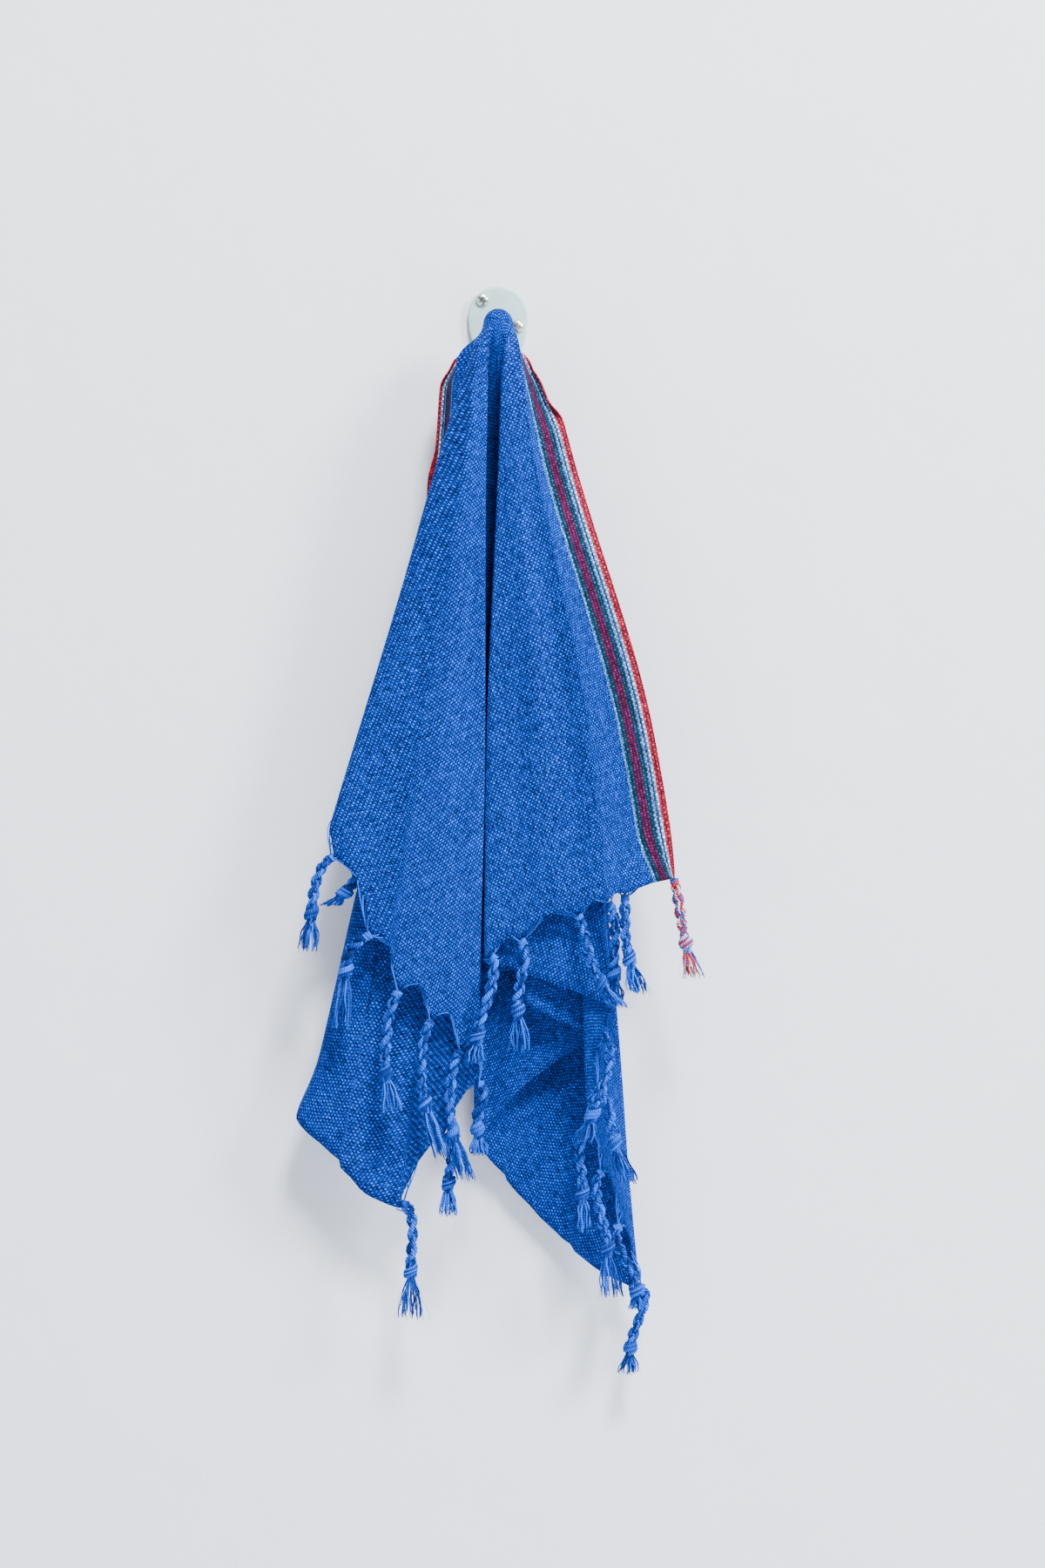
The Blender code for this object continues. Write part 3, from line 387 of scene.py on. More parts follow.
# The striped strip beyond the hook: its lean from +X towards the wall at LEVELS, and the drops
# between which its border rolls up, and then opens flat again
LEAN = {"right": (80.0, 72.0, 30.0, 14.0, 8.0), "left": (60.0, 72.0, 70.0, 22.0, 5.0)}
ROLLS = (22.0, 42.0)
OPENS = {"right": (60.0, 95.0), "left": (90.0, 150.0)}
ROLL_FROM, ROLL_RADIUS = 16.0, 2.6
BAND_FROM, BAND_FULL = 10.0, 60.0

# The tassels that gather the two ends. They come before the cloth, which is drawn up between them
TASSELS = {
    # along the end, knot across, knot down, tip across, tip down, both out, tail's spread
    "right": (
        (-22, 7, 39, 13, 67, 1, 9),
        (24, 2, 39, 9, 67, 1, 9),
        (45, 4, 45, 5, 70, -12, 6),
        (70, 13, 42, 27, 62, 5, 9),
        (116, -3, 43, -1, 76, 2, 8),
        (142, -8, 50, -11, 74, 7, 8),
        (300, -8, 46, -15, 70, 12, 8),
        (346, 12, 30, 22, 62, 5, 9),
        (386, -4, 36, -4, 66, 9, 6),
        (438, 3, 46, 7, 84, 8, 9),
        (505, 10, 38, 11, 56, 6, 6),
        (573, -5, 38, -8, 60, 0, 9),
    ),
    "left": (
        (-22, 2, 44, 0, 70, 7, 5),
        (16, -2, 46, -3, 70, 0.6, 4),
        (50, 2, 36, 3, 56, -1.0, 3),
        (166, 0, 46, 1, 72, 2, 4),
        (214, 1, 45, 1, 70, 1, 4),
        (250, -5, 52, -19, 64, -3, 9),
        (296, -14, 34, -17, 64, 1, 9),
        (342, -16, 20, -18, 63, 2, 9),
        (388, -9, 51, -6, 81, 3, 9),
        (434, -5, 51, 8, 93, 5, 7),
        (480, -6, 51, 3, 87, 3, 8),
        (515, 0, 27, 2, 49, 2, 8),
        (540, 3, 27, 2, 54, 2, 8),
        (572, 6, 42, 7, 78, 2, 11),
    ),
}
TASSEL_ROOTS = [(end, row[0]) for end, rows in TASSELS.items() for row in rows]

FOLD_DEGREES, FOLD_WAY, FOLD_ROLL, FOLD_ACROSS, FOLD_OUT, FOLD_HEM = (
    np.array(column, float) for column in list(zip(*FOLDS))[1:]
)
FOLD_ANGLE = np.radians(FOLD_DEGREES)
LAST = len(FOLDS) - 1
COLUMN_OF_BAND = {"right": 0.0, "left": 2.0 * LAST}

# Near the hook the folds crowd: a fold's largest radius is a share of its distance from the next
ROLL_SHARE, LEAST_ROLL, SHORTEST_TURN = 0.32, 0.5, 0.3
LEAST_HALF, MOST_HALF = 0.08, 0.3

# A swell is a wide soft fold. Its row gives the surface of the cloth, and a crease's row its centre
SOFT_FROM = 3.0
MIDWAY = 3
RUN_ACROSS = np.sign(
    np.append(FOLD_ACROSS[0, MIDWAY], FOLD_ACROSS[:-1, MIDWAY])
    - np.append(FOLD_ACROSS[1:, MIDWAY], FOLD_ACROSS[-1, MIDWAY])
)
SWELL_SET_BACK = (FOLD_ROLL > SOFT_FROM) * RUN_ACROSS * FOLD_WAY


def ease(x):
    """0 to 1 with level ends."""
    x = np.clip(x, 0, 1)
    return x * x * (3 - 2 * x)


def through(values, drop):
    """Smooth curve through a row of values at LEVELS, with no overshoot, straight beyond its ends."""
    level, value = np.array(LEVELS), np.array(values, float)
    step = np.diff(level)
    rise = np.diff(value) / step
    slope = np.concatenate([rise[..., :1], rise[..., -1:]], -1)
    for i in range(1, len(level) - 1):
        one, two = rise[..., i - 1], rise[..., i]
        wide, narrow = 2 * step[i] + step[i - 1], step[i] + 2 * step[i - 1]
        same = one * two > 0
        mean = (wide + narrow) / (wide / np.where(same, one, 1) + narrow / np.where(same, two, 1))
        slope = np.insert(slope, i, np.where(same, mean, 0), axis=-1)
    i = np.clip(np.searchsorted(level, drop) - 1, 0, len(level) - 2)
    t = np.clip((drop - level[i]) / step[i], 0, 1)
    curve = (1 - t) ** 2 * (1 + 2 * t) * value[..., i] + t * t * (3 - 2 * t) * value[..., i + 1]
    curve = curve + t * (1 - t) * step[i] * ((1 - t) * slope[..., i] - t * slope[..., i + 1])
    above, below = np.minimum(drop - level[0], 0), np.maximum(drop - level[-1], 0)
    return curve + above * slope[..., :1] + below * slope[..., -1:]


def rolls(drop):
    """Radius of each fold at a drop. Near the hook the folds crowd, and so roll tighter."""
    across, out = through(FOLD_ACROSS, drop), through(FOLD_OUT, drop)
    apart = np.hypot(np.diff(across, axis=0), np.diff(out, axis=0))
    nearer = np.minimum(np.concatenate([apart[:1], apart]), np.concatenate([apart, apart[-1:]]))
    radius = np.minimum(FOLD_ROLL[:, None], ROLL_SHARE * nearer)
    return radius * ease((radius - LEAST_ROLL / 2) / LEAST_ROLL)


def belt(drop):
    """The cloth's level section at a drop: rollers, and the straight runs of a belt round them."""
    radius = rolls(drop)
    x = through(FOLD_ACROSS, drop)
    y = -(through(FOLD_OUT, drop) + SWELL_SET_BACK[:, None] * radius)
    signed = FOLD_WAY[:, None] * radius
    dx, dy = np.diff(x, axis=0), np.diff(y, axis=0)
    apart = np.hypot(dx, dy)
    cross = (signed[1:] - signed[:-1]) / apart
    heading = np.unwrap(np.arctan2(dy, dx) - np.arcsin(np.clip(cross, -0.99, 0.99)), axis=0)
    run = apart * np.sqrt(np.clip(1 - cross**2, 0.02, 1))
    before = np.concatenate([heading[:1], heading])
    after = np.concatenate([heading, heading[-1:]])
    quarter = math.pi / 2
    wrap = np.mod((after - before) * FOLD_WAY[:, None] + quarter, 4 * quarter) - quarter
    wrap = np.maximum(wrap, 0) * (FOLD_WAY[:, None] != 0)
    slack = np.maximum(SHORTEST_TURN - wrap * radius, 0) / 2
    section = {"x": x, "y": y, "before": before, "after": after}
    return section | {"wrap": wrap, "run": run, "radius": radius, "slack": slack}


def split(column):
    """Fold, side and share of a column: 2 x the fold's number, + or - 1/2 round it, and then on its run."""
    fold = np.clip(np.floor(column / 2 + 0.25).astype(int), 0, LAST)
    past = column - 2 * fold
    round_fold = past <= 0.5
    return fold, round_fold, np.where(round_fold, 2 * past, past - 0.5)


def drawn_in(end, u):
    """How far the end is drawn up at u, between the roots of its tassels."""
    roots = np.array([row[0] for row in TASSELS[end]], float)
    i = np.clip(np.searchsorted(roots, u) - 1, 0, len(roots) - 2)
    wide = roots[i + 1] - roots[i]
    f = np.clip((u - roots[i]) / wide, 0, 1)
    deep = np.where(wide < SCALLOP_MOST, SCALLOP_DEEP * np.minimum(wide / SCALLOP_WIDE, 1), 0)
    deep = deep * np.where(roots[i] < 0, STRIPED_SCALLOP, 1)
    return deep * np.sin(math.pi * f) ** 0.8


def rim(angle, scallops=True):
    """Flat distance from the hook to the towel's rim, at an angle from the warp's right end."""
    right, c, s = np.cos(angle) > 0, np.maximum(abs(np.cos(angle)), 1e-9), np.maximum(np.sin(angle), 1e-9)
    to_end, to_plain = np.where(right, END["right"], END["left"]) / c, PLAIN_EDGE / s
    drawn = np.where(right, drawn_in("right", to_end * s), drawn_in("left", to_end * s)) / c
    return np.where(to_end < to_plain, to_end - drawn * scallops, to_plain)


def between_folds(angle, values):
    """The folds' values at an angle, in straight lines, rounded off along the plain edge."""
    reach = np.clip(np.minimum(angle - PLAIN_CORNERS[0], PLAIN_CORNERS[1] - angle), 0, ROUNDED_REACH)
    return np.mean([np.interp(angle + share * reach, FOLD_ANGLE, values) for share in ROUNDED_SHARES], axis=0)


def hem_drop(angle):
    """Drop of the rim at an angle: each fold's own, and between them by the way that they slant."""
    own = belt(FOLD_HEM)["x"].diagonal()
    slant = np.arctan2(own - TOP[0], FOLD_HEM)
    give = FOLD_HEM / (rim(FOLD_ANGLE, scallops=False) * np.cos(slant))
    return rim(angle) * between_folds(angle, give) * np.cos(between_folds(angle, slant))


def flat_angle(column, r, drop):
    """Angle on the flat towel of the cloth that lies at a column, r from the hook."""
    fold, round_fold, f = split(column)
    section = belt(drop)
    half = section["wrap"] * section["radius"] / 2 / np.maximum(r, 1)
    span = np.diff(FOLD_ANGLE)
    nearer = np.minimum(np.append(span, span[-1]), np.append(span[0], span))[:, None]
    half = np.clip(half, LEAST_HALF * nearer, MOST_HALF * nearer)
    n, after = np.arange(len(column)), np.minimum(fold + 1, LAST)
    start, stop = FOLD_ANGLE[fold] + half[fold, n], FOLD_ANGLE[after] - half[after, n]
    return np.where(round_fold, FOLD_ANGLE[fold] + f * half[fold, n], start + (stop - start) * f)


def hem_of(column):
    """Flat distance and drop of the rim at a column, found in a few rounds."""
    fold, round_fold, f = split(column)
    after = np.minimum(fold + 1, LAST)
    ahead = FOLD_ANGLE[fold] + (FOLD_ANGLE[after] - FOLD_ANGLE[fold]) * f
    angle = np.where(round_fold, FOLD_ANGLE[fold], ahead)
    for _ in range(4):
        angle = flat_angle(column, rim(angle), hem_drop(angle))
    return rim(angle), hem_drop(angle), angle


def bell_radius(r):
    """Half width of the cloth's bell over the ball, r along the cloth from the top."""
    past = np.maximum(r - BELL_END, 0)
    return BELL * np.sin(np.minimum(r, BELL_END) / BELL) + BELL_FLARE * past


def bell_drop(r):
    """Drop of the bell, where it still lies on the ball."""
    return BELL * (1 - np.cos(np.minimum(r, BELL_END) / BELL))


def pleated(column, r, reach, hem):
    """Places of the cloth that hangs in pleats, at a column and r from the hook."""
    below = bell_drop(BELL_END)
    drop = bell_drop(r) + np.maximum(r - BELL_END, 0) * (hem - below) / np.maximum(reach - BELL_END, 1)
    level = np.maximum(drop, FOLDS_LEVEL)
    fold, round_fold, f = split(column)
    section = belt(level)
    n = np.arange(len(column))
    start = section["before"][fold, n] + FOLD_WAY[fold] * section["wrap"][fold, n] * (f + 1) / 2
    heading = np.where(round_fold, start, section["after"][fold, n])
    side = FOLD_WAY[fold] * section["radius"][fold, n]
    slack, after = section["slack"], np.minimum(fold + 1, LAST)
    length = section["run"][np.minimum(fold, LAST - 1), n] - slack[fold, n] - slack[after, n]
    run = np.where(round_fold, f * slack[fold, n], slack[fold, n] + f * length)
    x = section["x"][fold, n] + side * np.sin(heading) + run * np.cos(heading)
    y = section["y"][fold, n] - side * np.cos(heading) + run * np.sin(heading)
    angle = flat_angle(column, r, level)
    on_bell = bell_radius(r)
    bell_x, bell_y = TOP[0] + on_bell * np.cos(angle), TOP[1] - on_bell * np.sin(angle)
    folded = ease((r - FOLDS_FROM) / (FOLDS_FULL - FOLDS_FROM))
    return np.stack([bell_x + (x - bell_x) * folded, bell_y + (y - bell_y) * folded, TOP[2] - drop], -1)


def striped(side, run, past):
    """Places of the striped strip: run along the warp from the hook, past the hook by 0 to 25."""
    column = np.full(len(run), COLUMN_OF_BAND[side])
    reach, hem, _ = hem_of(column)
    inner = pleated(column, run, reach, hem)
    drop = TOP[2] - inner[:, 2]
    lean = np.radians(through(LEAN[side], drop))
    rolled = 1 - ease((drop - OPENS[side][0]) / (OPENS[side][1] - OPENS[side][0]))
    rolled = rolled * ease((drop - ROLLS[0]) / (ROLLS[1] - ROLLS[0]))
    flat, curled = np.minimum(past, ROLL_FROM), np.maximum(past - ROLL_FROM, 0)
    bend = np.maximum(rolled / ROLL_RADIUS, 1e-4)
    across = flat * np.cos(lean) + (np.sin(lean) - np.sin(lean - curled * bend)) / bend
    back = flat * np.sin(lean) + (np.cos(lean - curled * bend) - np.cos(lean)) / bend
    slant = (inner[:, 0] - TOP[0]) / np.maximum(np.hypot(inner[:, 0] - TOP[0], drop), 1)
    lift = abs(slant) * past * (1 - rolled)
    hanging = inner + np.stack([SIDE[side] * across, back, lift], -1)
    r, angle = np.hypot(run, past), np.arctan2(-past, SIDE[side] * run)
    radius, fall = bell_radius(r), bell_drop(r) + np.maximum(r - BELL_END, 0)
    on_bell = np.stack([TOP[0] + radius * np.cos(angle), TOP[1] - radius * np.sin(angle), TOP[2] - fall], -1)
    return on_bell + (hanging - on_bell) * ease((run - BAND_FROM) / (BAND_FULL - BAND_FROM))[:, None]


RIM_COLUMNS = np.linspace(0, 2 * LAST, 60 * LAST + 1)
RIM_ANGLES = hem_of(RIM_COLUMNS)[2]


def column_at(end, u):
    """Columns whose rim lies u along an end."""
    return np.interp(np.arctan2(u, SIDE[end] * END[end]), RIM_ANGLES, RIM_COLUMNS)


COLUMN_WIDE, ROLL_COLUMNS = 5.0, 6
NEAR_ROWS, ROWS_BELOW, ROW_CROWDING = 12, 80, 1.12
NEAR_REACH, STRIP_COLUMNS = 34.0, 12
PLAIN_PINCH, STRIPED_PINCH = (17.0, 0.42, 2.0), (42.0, 0.9, 1.5)  # its reach, its most, its fall
SOFTEN_PASSES, SOFTEN_SHARE, SOFTEN_FROM, SOFTEN_OVER, SOFTEN_RIM = 25, 0.5, 60, 80, 50
LIFT_FROM, LIFT_FULL, RIPPLE_FROM, RIPPLE_FULL, STRIP_CALM = 35, 95, 60, 220, 15
CREASES = (
    # flat angle of its line, from and to along the cloth, half its width, its lift
    # the front, right of the middle
    (9.2, 70, 440, 9, 3.2),
    (12.8, 60, 360, 7, -1.6),
    (15.6, 170, 450, 8, 1.4),
    (18.3, 40, 260, 4, 0.8),
    (1.6, 250, 400, 6, 0.9),
    # the front, left of the middle
    (121.6, 90, 430, 8, 1.9),
    (124.6, 60, 400, 8, -2.2),
    (128.6, 180, 470, 9, 1.5),
    (132.2, 70, 300, 6, -1.0),
    (130.4, 300, 460, 12, 2.0),
    # the lower left lobe
    (109.0, 350, 600, 10, 1.6),
    (112.6, 300, 620, 9, -1.4),
    (114.6, 420, 640, 6, 1.2),
    # the lower right lobe and its hollow
    (55.6, 420, 690, 9, 1.5),
    (60.4, 380, 660, 12, -1.8),
    (64.2, 350, 640, 8, 1.4),
    (58.6, 480, 668, 30, 9.5),
    # the layers behind
    (70.0, 280, 610, 14, -5.5),
    (74.6, 300, 590, 8, 3.0),
    (92.0, 250, 560, 12, 1.5),
    (101.0, 200, 560, 11, -1.5),
    (27.0, 200, 450, 8, 1.4),
    (47.5, 240, 560, 9, 1.4),
    (147.0, 90, 300, 8, 1.3),
    (168.0, 80, 280, 7, -1.0),
)
WEAVE_SLIDE = (
    # flat angles, and how many degrees the threads slide there, where the run to left_crease is wide
    (111.0, 116.1, 119.0),
    (0.0, -1.7, 0.0),
)
RIPPLES = (
    # wave across and down the flat cloth, phase, height
    (61.0, 210.0, 0.4, 0.42),
    (37.0, -160.0, 2.1, 0.30),
    (23.0, 95.0, 4.0, 0.16),
)


def cloth_columns():
    """Columns of the mesh: even along the runs, finer round each fold, and one at each tassel."""
    kept = [0.0, 2.0 * LAST]
    for fold in range(LAST):
        middle = (FOLD_ANGLE[fold] + FOLD_ANGLE[fold + 1]) / 2
        wide = (FOLD_ANGLE[fold + 1] - FOLD_ANGLE[fold]) * float(rim(middle))
        kept += list(np.linspace(2 * fold + 0.5, 2 * fold + 1.5, max(4, round(wide / COLUMN_WIDE)) + 1)[1:-1])
        if fold:
            kept += list(np.linspace(2 * fold - 0.5, 2 * fold + 0.5, ROLL_COLUMNS + 1))
    for column in [column_at(end, u) for end, u in TASSEL_ROOTS if u > 0]:
        near = min(kept, key=lambda other: abs(other - column))
        if abs(near - column) < 0.02:
            kept.remove(near)
        kept.append(column)
    return np.array(sorted(kept))


def rows_to(reach):
    """Flat distances of the mesh's rows, from the hook to the rim."""
    near = np.linspace(0, NEAR_REACH, NEAR_ROWS)
    share = (np.arange(1, ROWS_BELOW + 1) / ROWS_BELOW) ** ROW_CROWDING
    return np.concatenate([near, NEAR_REACH + (reach - NEAR_REACH) * share])


def rim_at(end, u):
    """Places of the rim at one or more distances u along an end."""
    u = np.atleast_1d(np.asarray(u, float))
    column = column_at(end, np.maximum(u, 0))
    reach, hem, _ = hem_of(column)
    places = pleated(column, reach, reach, hem)
    if (u < 0).any():
        past = np.array([striped(end, np.array([END[end]]), np.array([max(-one, 0.0)]))[0] for one in u])
        places = np.where((u < 0)[:, None], past, places)
    return places


def facing(places):
    """Unit normals of a grid of places, by row and column."""
    down, across = np.gradient(places, axis=1), np.gradient(places, axis=0)
    normal = np.cross(down, across)
    return normal / np.maximum(np.linalg.norm(normal, axis=-1, keepdims=True), 1e-6)


def creased(flat, places):
    """Lifts the cloth off its folds, in soft ridges and troughs along the fan and in small ripples."""
    r, angle = np.hypot(flat[..., 0], flat[..., 1]), np.degrees(np.arctan2(flat[..., 1], flat[..., 0]))
    lift = np.zeros(r.shape)
    for line, start, stop, half, height in CREASES:
        aside = np.radians(angle - line) * r / half
        along = np.clip((r - start) / (stop - start), 0, 1)
        lift += height * np.exp(-aside**2) * np.sin(math.pi * along) ** 0.7
    hang = ease((r - RIPPLE_FROM) / (RIPPLE_FULL - RIPPLE_FROM))
    for across, down, phase, height in RIPPLES:
        lift += hang * height * np.sin(flat[..., 1] / across + flat[..., 0] / down + phase)
    lift *= ease(flat[..., 1] / STRIP_CALM)
    return places + facing(places) * (lift * ease((r - LIFT_FROM) / (LIFT_FULL - LIFT_FROM)))[..., None]


def softened(columns, rows, places):
    """Evens out the hard changes of slope between the tight creases, as limp cotton does."""
    creases = 2 * np.nonzero(FOLD_ROLL <= SOFT_FROM)[0]
    aside = abs(columns[:, None] - creases).min(axis=1)
    near, far = ease((rows - SOFTEN_FROM) / SOFTEN_OVER), ease((rows[:, -1:] - rows) / SOFTEN_RIM)
    share = (SOFTEN_SHARE * ease((aside - 0.5) / 0.5))[:, None] * near * far
    for _ in range(SOFTEN_PASSES):
        normal = facing(places)[1:-1]
        lift = ((places[:-2] + places[2:]) / 2 - places[1:-1]) * normal
        places[1:-1] += lift.sum(axis=-1, keepdims=True) * normal * share[1:-1, :, None]
    return places


def drawn_to_roots(flat, places):
    """Draws the cloth near each tassel's root towards it, as the gathered threads pull it."""
    for end, u in TASSEL_ROOTS:
        reach, most, fall = STRIPED_PINCH if u < 0 else PLAIN_PINCH
        away = np.linalg.norm(flat - (SIDE[end] * END[end], u), axis=-1)
        pull = most * np.clip(1 - away / reach, 0, 1)[..., None] ** fall
        places = places + (rim_at(end, u)[0] - places) * pull
    return places


def lay_cloth(bm, layer, threads, places):
    """A grid of quads, its corners moved to their places. Its UV is its threads' flat places in metres."""
    across, along = places.shape[0] - 1, places.shape[1] - 1
    bmesh.ops.create_grid(bm, x_segments=across, y_segments=along, size=0.5)
    bm.verts.ensure_lookup_table()
    fresh = bm.verts[-(across + 1) * (along + 1):]
    laid = {}
    for corner in fresh:
        i, j = round((corner.co.x + 0.5) * across), round((corner.co.y + 0.5) * along)
        laid[corner] = threads[i, j] * MM
        corner.co = Vector(places[i, j]) * MM
    for face in {face for corner in fresh for face in corner.link_faces}:
        for loop in face.loops:
            loop[layer].uv = laid[loop.vert]


def fan(r, angle):
    """Flat places at distances and angles from the hook."""
    return r[..., None] * np.stack([np.cos(angle), np.sin(angle)], -1)


def weave_cloth(material):
    """The whole cloth: its pleated part, and the striped strip beyond the hook."""
    columns = cloth_columns()
    reach, hem, _ = hem_of(columns)
    rows = np.stack([rows_to(one) for one in reach])
    places = np.stack([pleated(columns, row, reach, hem) for row in rows.T], 1)
    levels = np.maximum(TOP[2] - places[..., 2], FOLDS_LEVEL)
    angle = np.stack([flat_angle(columns, *pair) for pair in zip(rows.T, levels.T)], 1)
    slid = angle + np.interp(angle, *np.radians(WEAVE_SLIDE))
    flat = fan(rows, angle)
    panels = [(fan(rows, slid), drawn_to_roots(flat, creased(flat, softened(columns, rows, places))))]
    past = np.linspace(0, STRIPED_EDGE, STRIP_COLUMNS)
    for side, edge in (("right", 0), ("left", -1)):
        line = rows[edge]
        length = (END[side] - drawn_in(side, -past)) / line[-1]
        run = line * (1 + (length[:, None] - 1) * ease((line - NEAR_REACH) / (line[-1] - NEAR_REACH)))
        far = np.broadcast_to(past[:, None], run.shape)
        laid = np.stack([SIDE[side] * run, -far], -1)
        strip = np.stack([striped(side, *pair) for pair in zip(run, far)])
        panels.append((laid, drawn_to_roots(laid, strip)))
    bm = bmesh.new()
    layer = bm.loops.layers.uv.new("UVMap")
    for threads, shaped in panels:
        lay_cloth(bm, layer, threads, shaped)
    bmesh.ops.remove_doubles(bm, verts=bm.verts, dist=0.001 * MM)
    cloth = new_piece("woven_cotton", bm, material, smooth_below=180)
    sheet = cloth.modifiers.new("cloth", "SOLIDIFY")
    sheet.thickness, sheet.offset = CLOTH_THICK * MM, 0.0
    return cloth


# Threads in metres. In the striped border the warp is coarser
WARP_PITCH, WEFT_PITCH, BAND_WIDER = 0.00140, 0.00170, 0.00060
WEAVE_SOCKETS = (
    # name, way, kind
    ("Flat", "INPUT", "Vector"), ("Warp pitch", "INPUT", "Float"), ("Weft pitch", "INPUT", "Float"),
    ("Height", "OUTPUT", "Float"), ("Weft on top", "OUTPUT", "Float"), ("Crossing tone", "OUTPUT", "Float"),
    ("Warp tone", "OUTPUT", "Float"), ("Weft tone", "OUTPUT", "Float"), ("Slub", "OUTPUT", "Float"),
)


def stretched_noise(tree, place, scale, detail, roughness=0.5):
    """Output of a noise texture with a scale for each way of the cloth."""
    drawn_out = add_node(tree, "Mapping", {"Vector": place, "Scale": scale}).outputs[0]
    return noise(tree, drawn_out, 1.0, detail, roughness)


def weave_group():
    """Node group of a plain weave on a UV in metres: its height, the thread on top, and their tones."""
    group = bpy.data.node_groups.new("plain_weave", "ShaderNodeTree")
    for name, way, kind in WEAVE_SOCKETS:
        group.interface.new_socket(name, in_out=way, socket_type="NodeSocket" + kind)
    given, out = group.nodes.new("NodeGroupInput").outputs, group.nodes.new("NodeGroupOutput").inputs
    wander = add_node(group, "TexNoise", {"Vector": given["Flat"], "Scale": 90.0, "Detail": 2.0})
    off = {0: wander.outputs["Color"], 1: (0.5, 0.5, 0.5)}
    off = add_node(group, "VectorMath", off, operation="SUBTRACT").outputs[0]
    off = add_node(group, "VectorMath", {0: off, "Scale": 0.0016}, operation="SCALE").outputs[0]
    bent = add_node(group, "VectorMath", {0: given["Flat"], 1: off}, operation="ADD").outputs[0]
    parts = add_node(group, "SeparateXYZ", {"Vector": bent}).outputs
    along = arithmetic(group, "DIVIDE", parts["X"], given["Weft pitch"])
    across = arithmetic(group, "DIVIDE", parts["Y"], given["Warp pitch"])
    warp_number, weft_number = arithmetic(group, "FLOOR", across), arithmetic(group, "FLOOR", along)

    def bow(place):
        """Round back of a thread across its width."""
        middle = arithmetic(group, "SUBTRACT", arithmetic(group, "FRACT", place), 0.5)
        square = arithmetic(group, "MULTIPLY", middle, middle)
        return arithmetic(group, "SQRT", arithmetic(group, "MULTIPLY_ADD", square, -3.6, 1.0, clamp=True))

    def over_and_under(place, number, depth):
        """Rise and fall of a thread along its length."""
        turn = arithmetic(group, "ADD", arithmetic(group, "SUBTRACT", place, 0.5), number)
        wave = arithmetic(group, "COSINE", arithmetic(group, "MULTIPLY", turn, math.pi))
        return arithmetic(group, "MULTIPLY_ADD", wave, depth, 0.55)

    warp = arithmetic(group, "MULTIPLY", bow(across), over_and_under(along, warp_number, 0.4))
    weft = arithmetic(group, "MULTIPLY", bow(along), over_and_under(across, weft_number, -0.4))
    prouder = arithmetic(group, "SUBTRACT", weft, warp)
    crossing = add_node(group, "CombineXYZ", {"X": warp_number, "Y": weft_number}).outputs[0]
    made = {
        "Height": arithmetic(group, "MAXIMUM", warp, weft),
        "Weft on top": arithmetic(group, "MULTIPLY_ADD", prouder, 6.0, 0.5, clamp=True),
        "Crossing tone": add_node(group, "TexWhiteNoise", {"Vector": crossing}).outputs["Value"],
        "Warp tone": stretched_noise(group, bent, (22.0, 620.0, 1.0), 3.0),
        "Weft tone": stretched_noise(group, bent, (520.0, 26.0, 1.0), 3.0),
        "Slub": stretched_noise(group, bent, (60.0, 420.0, 1.0), 1.0),
    }
    for name, value in made.items():
        group.links.new(value, out[name])
    return group


# Blue cotton, from its darkest dyed threads to its palest weft
BLUE_DEEP, BLUE_WARP, BLUE_WEFT, BLUE_PALE = (
    (0.0010, 0.0050, 0.050), (0.0022, 0.0160, 0.130), (0.0032, 0.0360, 0.285), (0.0070, 0.0840, 0.560)
)
STRIPES_SPAN = 0.05
STRIPE_THREADS = (
    # distance from the striped edge in metres, colour of the warp from there on
    (0.0, (0.42, 0.012, 0.006)),
    (0.0046, (0.62, 0.64, 0.78)),
    (0.0058, (0.17, 0.32, 0.68)),
    (0.0070, (0.010, 0.060, 0.16)),
    (0.0082, (0.26, 0.42, 0.76)),
    (0.0094, (0.010, 0.060, 0.12)),
    (0.0104, (0.006, 0.044, 0.064)),
    (0.0134, (0.110, 0.004, 0.026)),
    (0.0188, (0.006, 0.044, 0.064)),
    (0.0221, (0.14, 0.36, 0.76)),
    (0.0236, BLUE_WARP),
)


def blend_colours(tree, share, one, other, how="MIX"):
    """Output of a colour mix, whose share and colours are outputs or values."""
    inputs = {0: share, 6: one, 7: other}  # the node's Factor, and its A and B for colours
    return add_node(tree, "Mix", inputs, data_type="RGBA", blend_type=how).outputs[2]


def shaded(tree, colour, value):
    """Output of a colour times one value."""
    grey = add_node(tree, "CombineColor", {0: value, 1: value, 2: value}).outputs[0]
    return blend_colours(tree, 1.0, colour, grey, "MULTIPLY")


def new_cotton(name, roughness, gloss, sheen, tint):
    """Material of cotton: hardly any gloss, and the faint sheen of its loose fibres."""
    return new_material(name, {
        "Roughness": roughness, "Specular IOR Level": gloss,
        "Sheen Weight": sheen, "Sheen Roughness": 0.5, "Sheen Tint": (*tint, 1.0),
    })


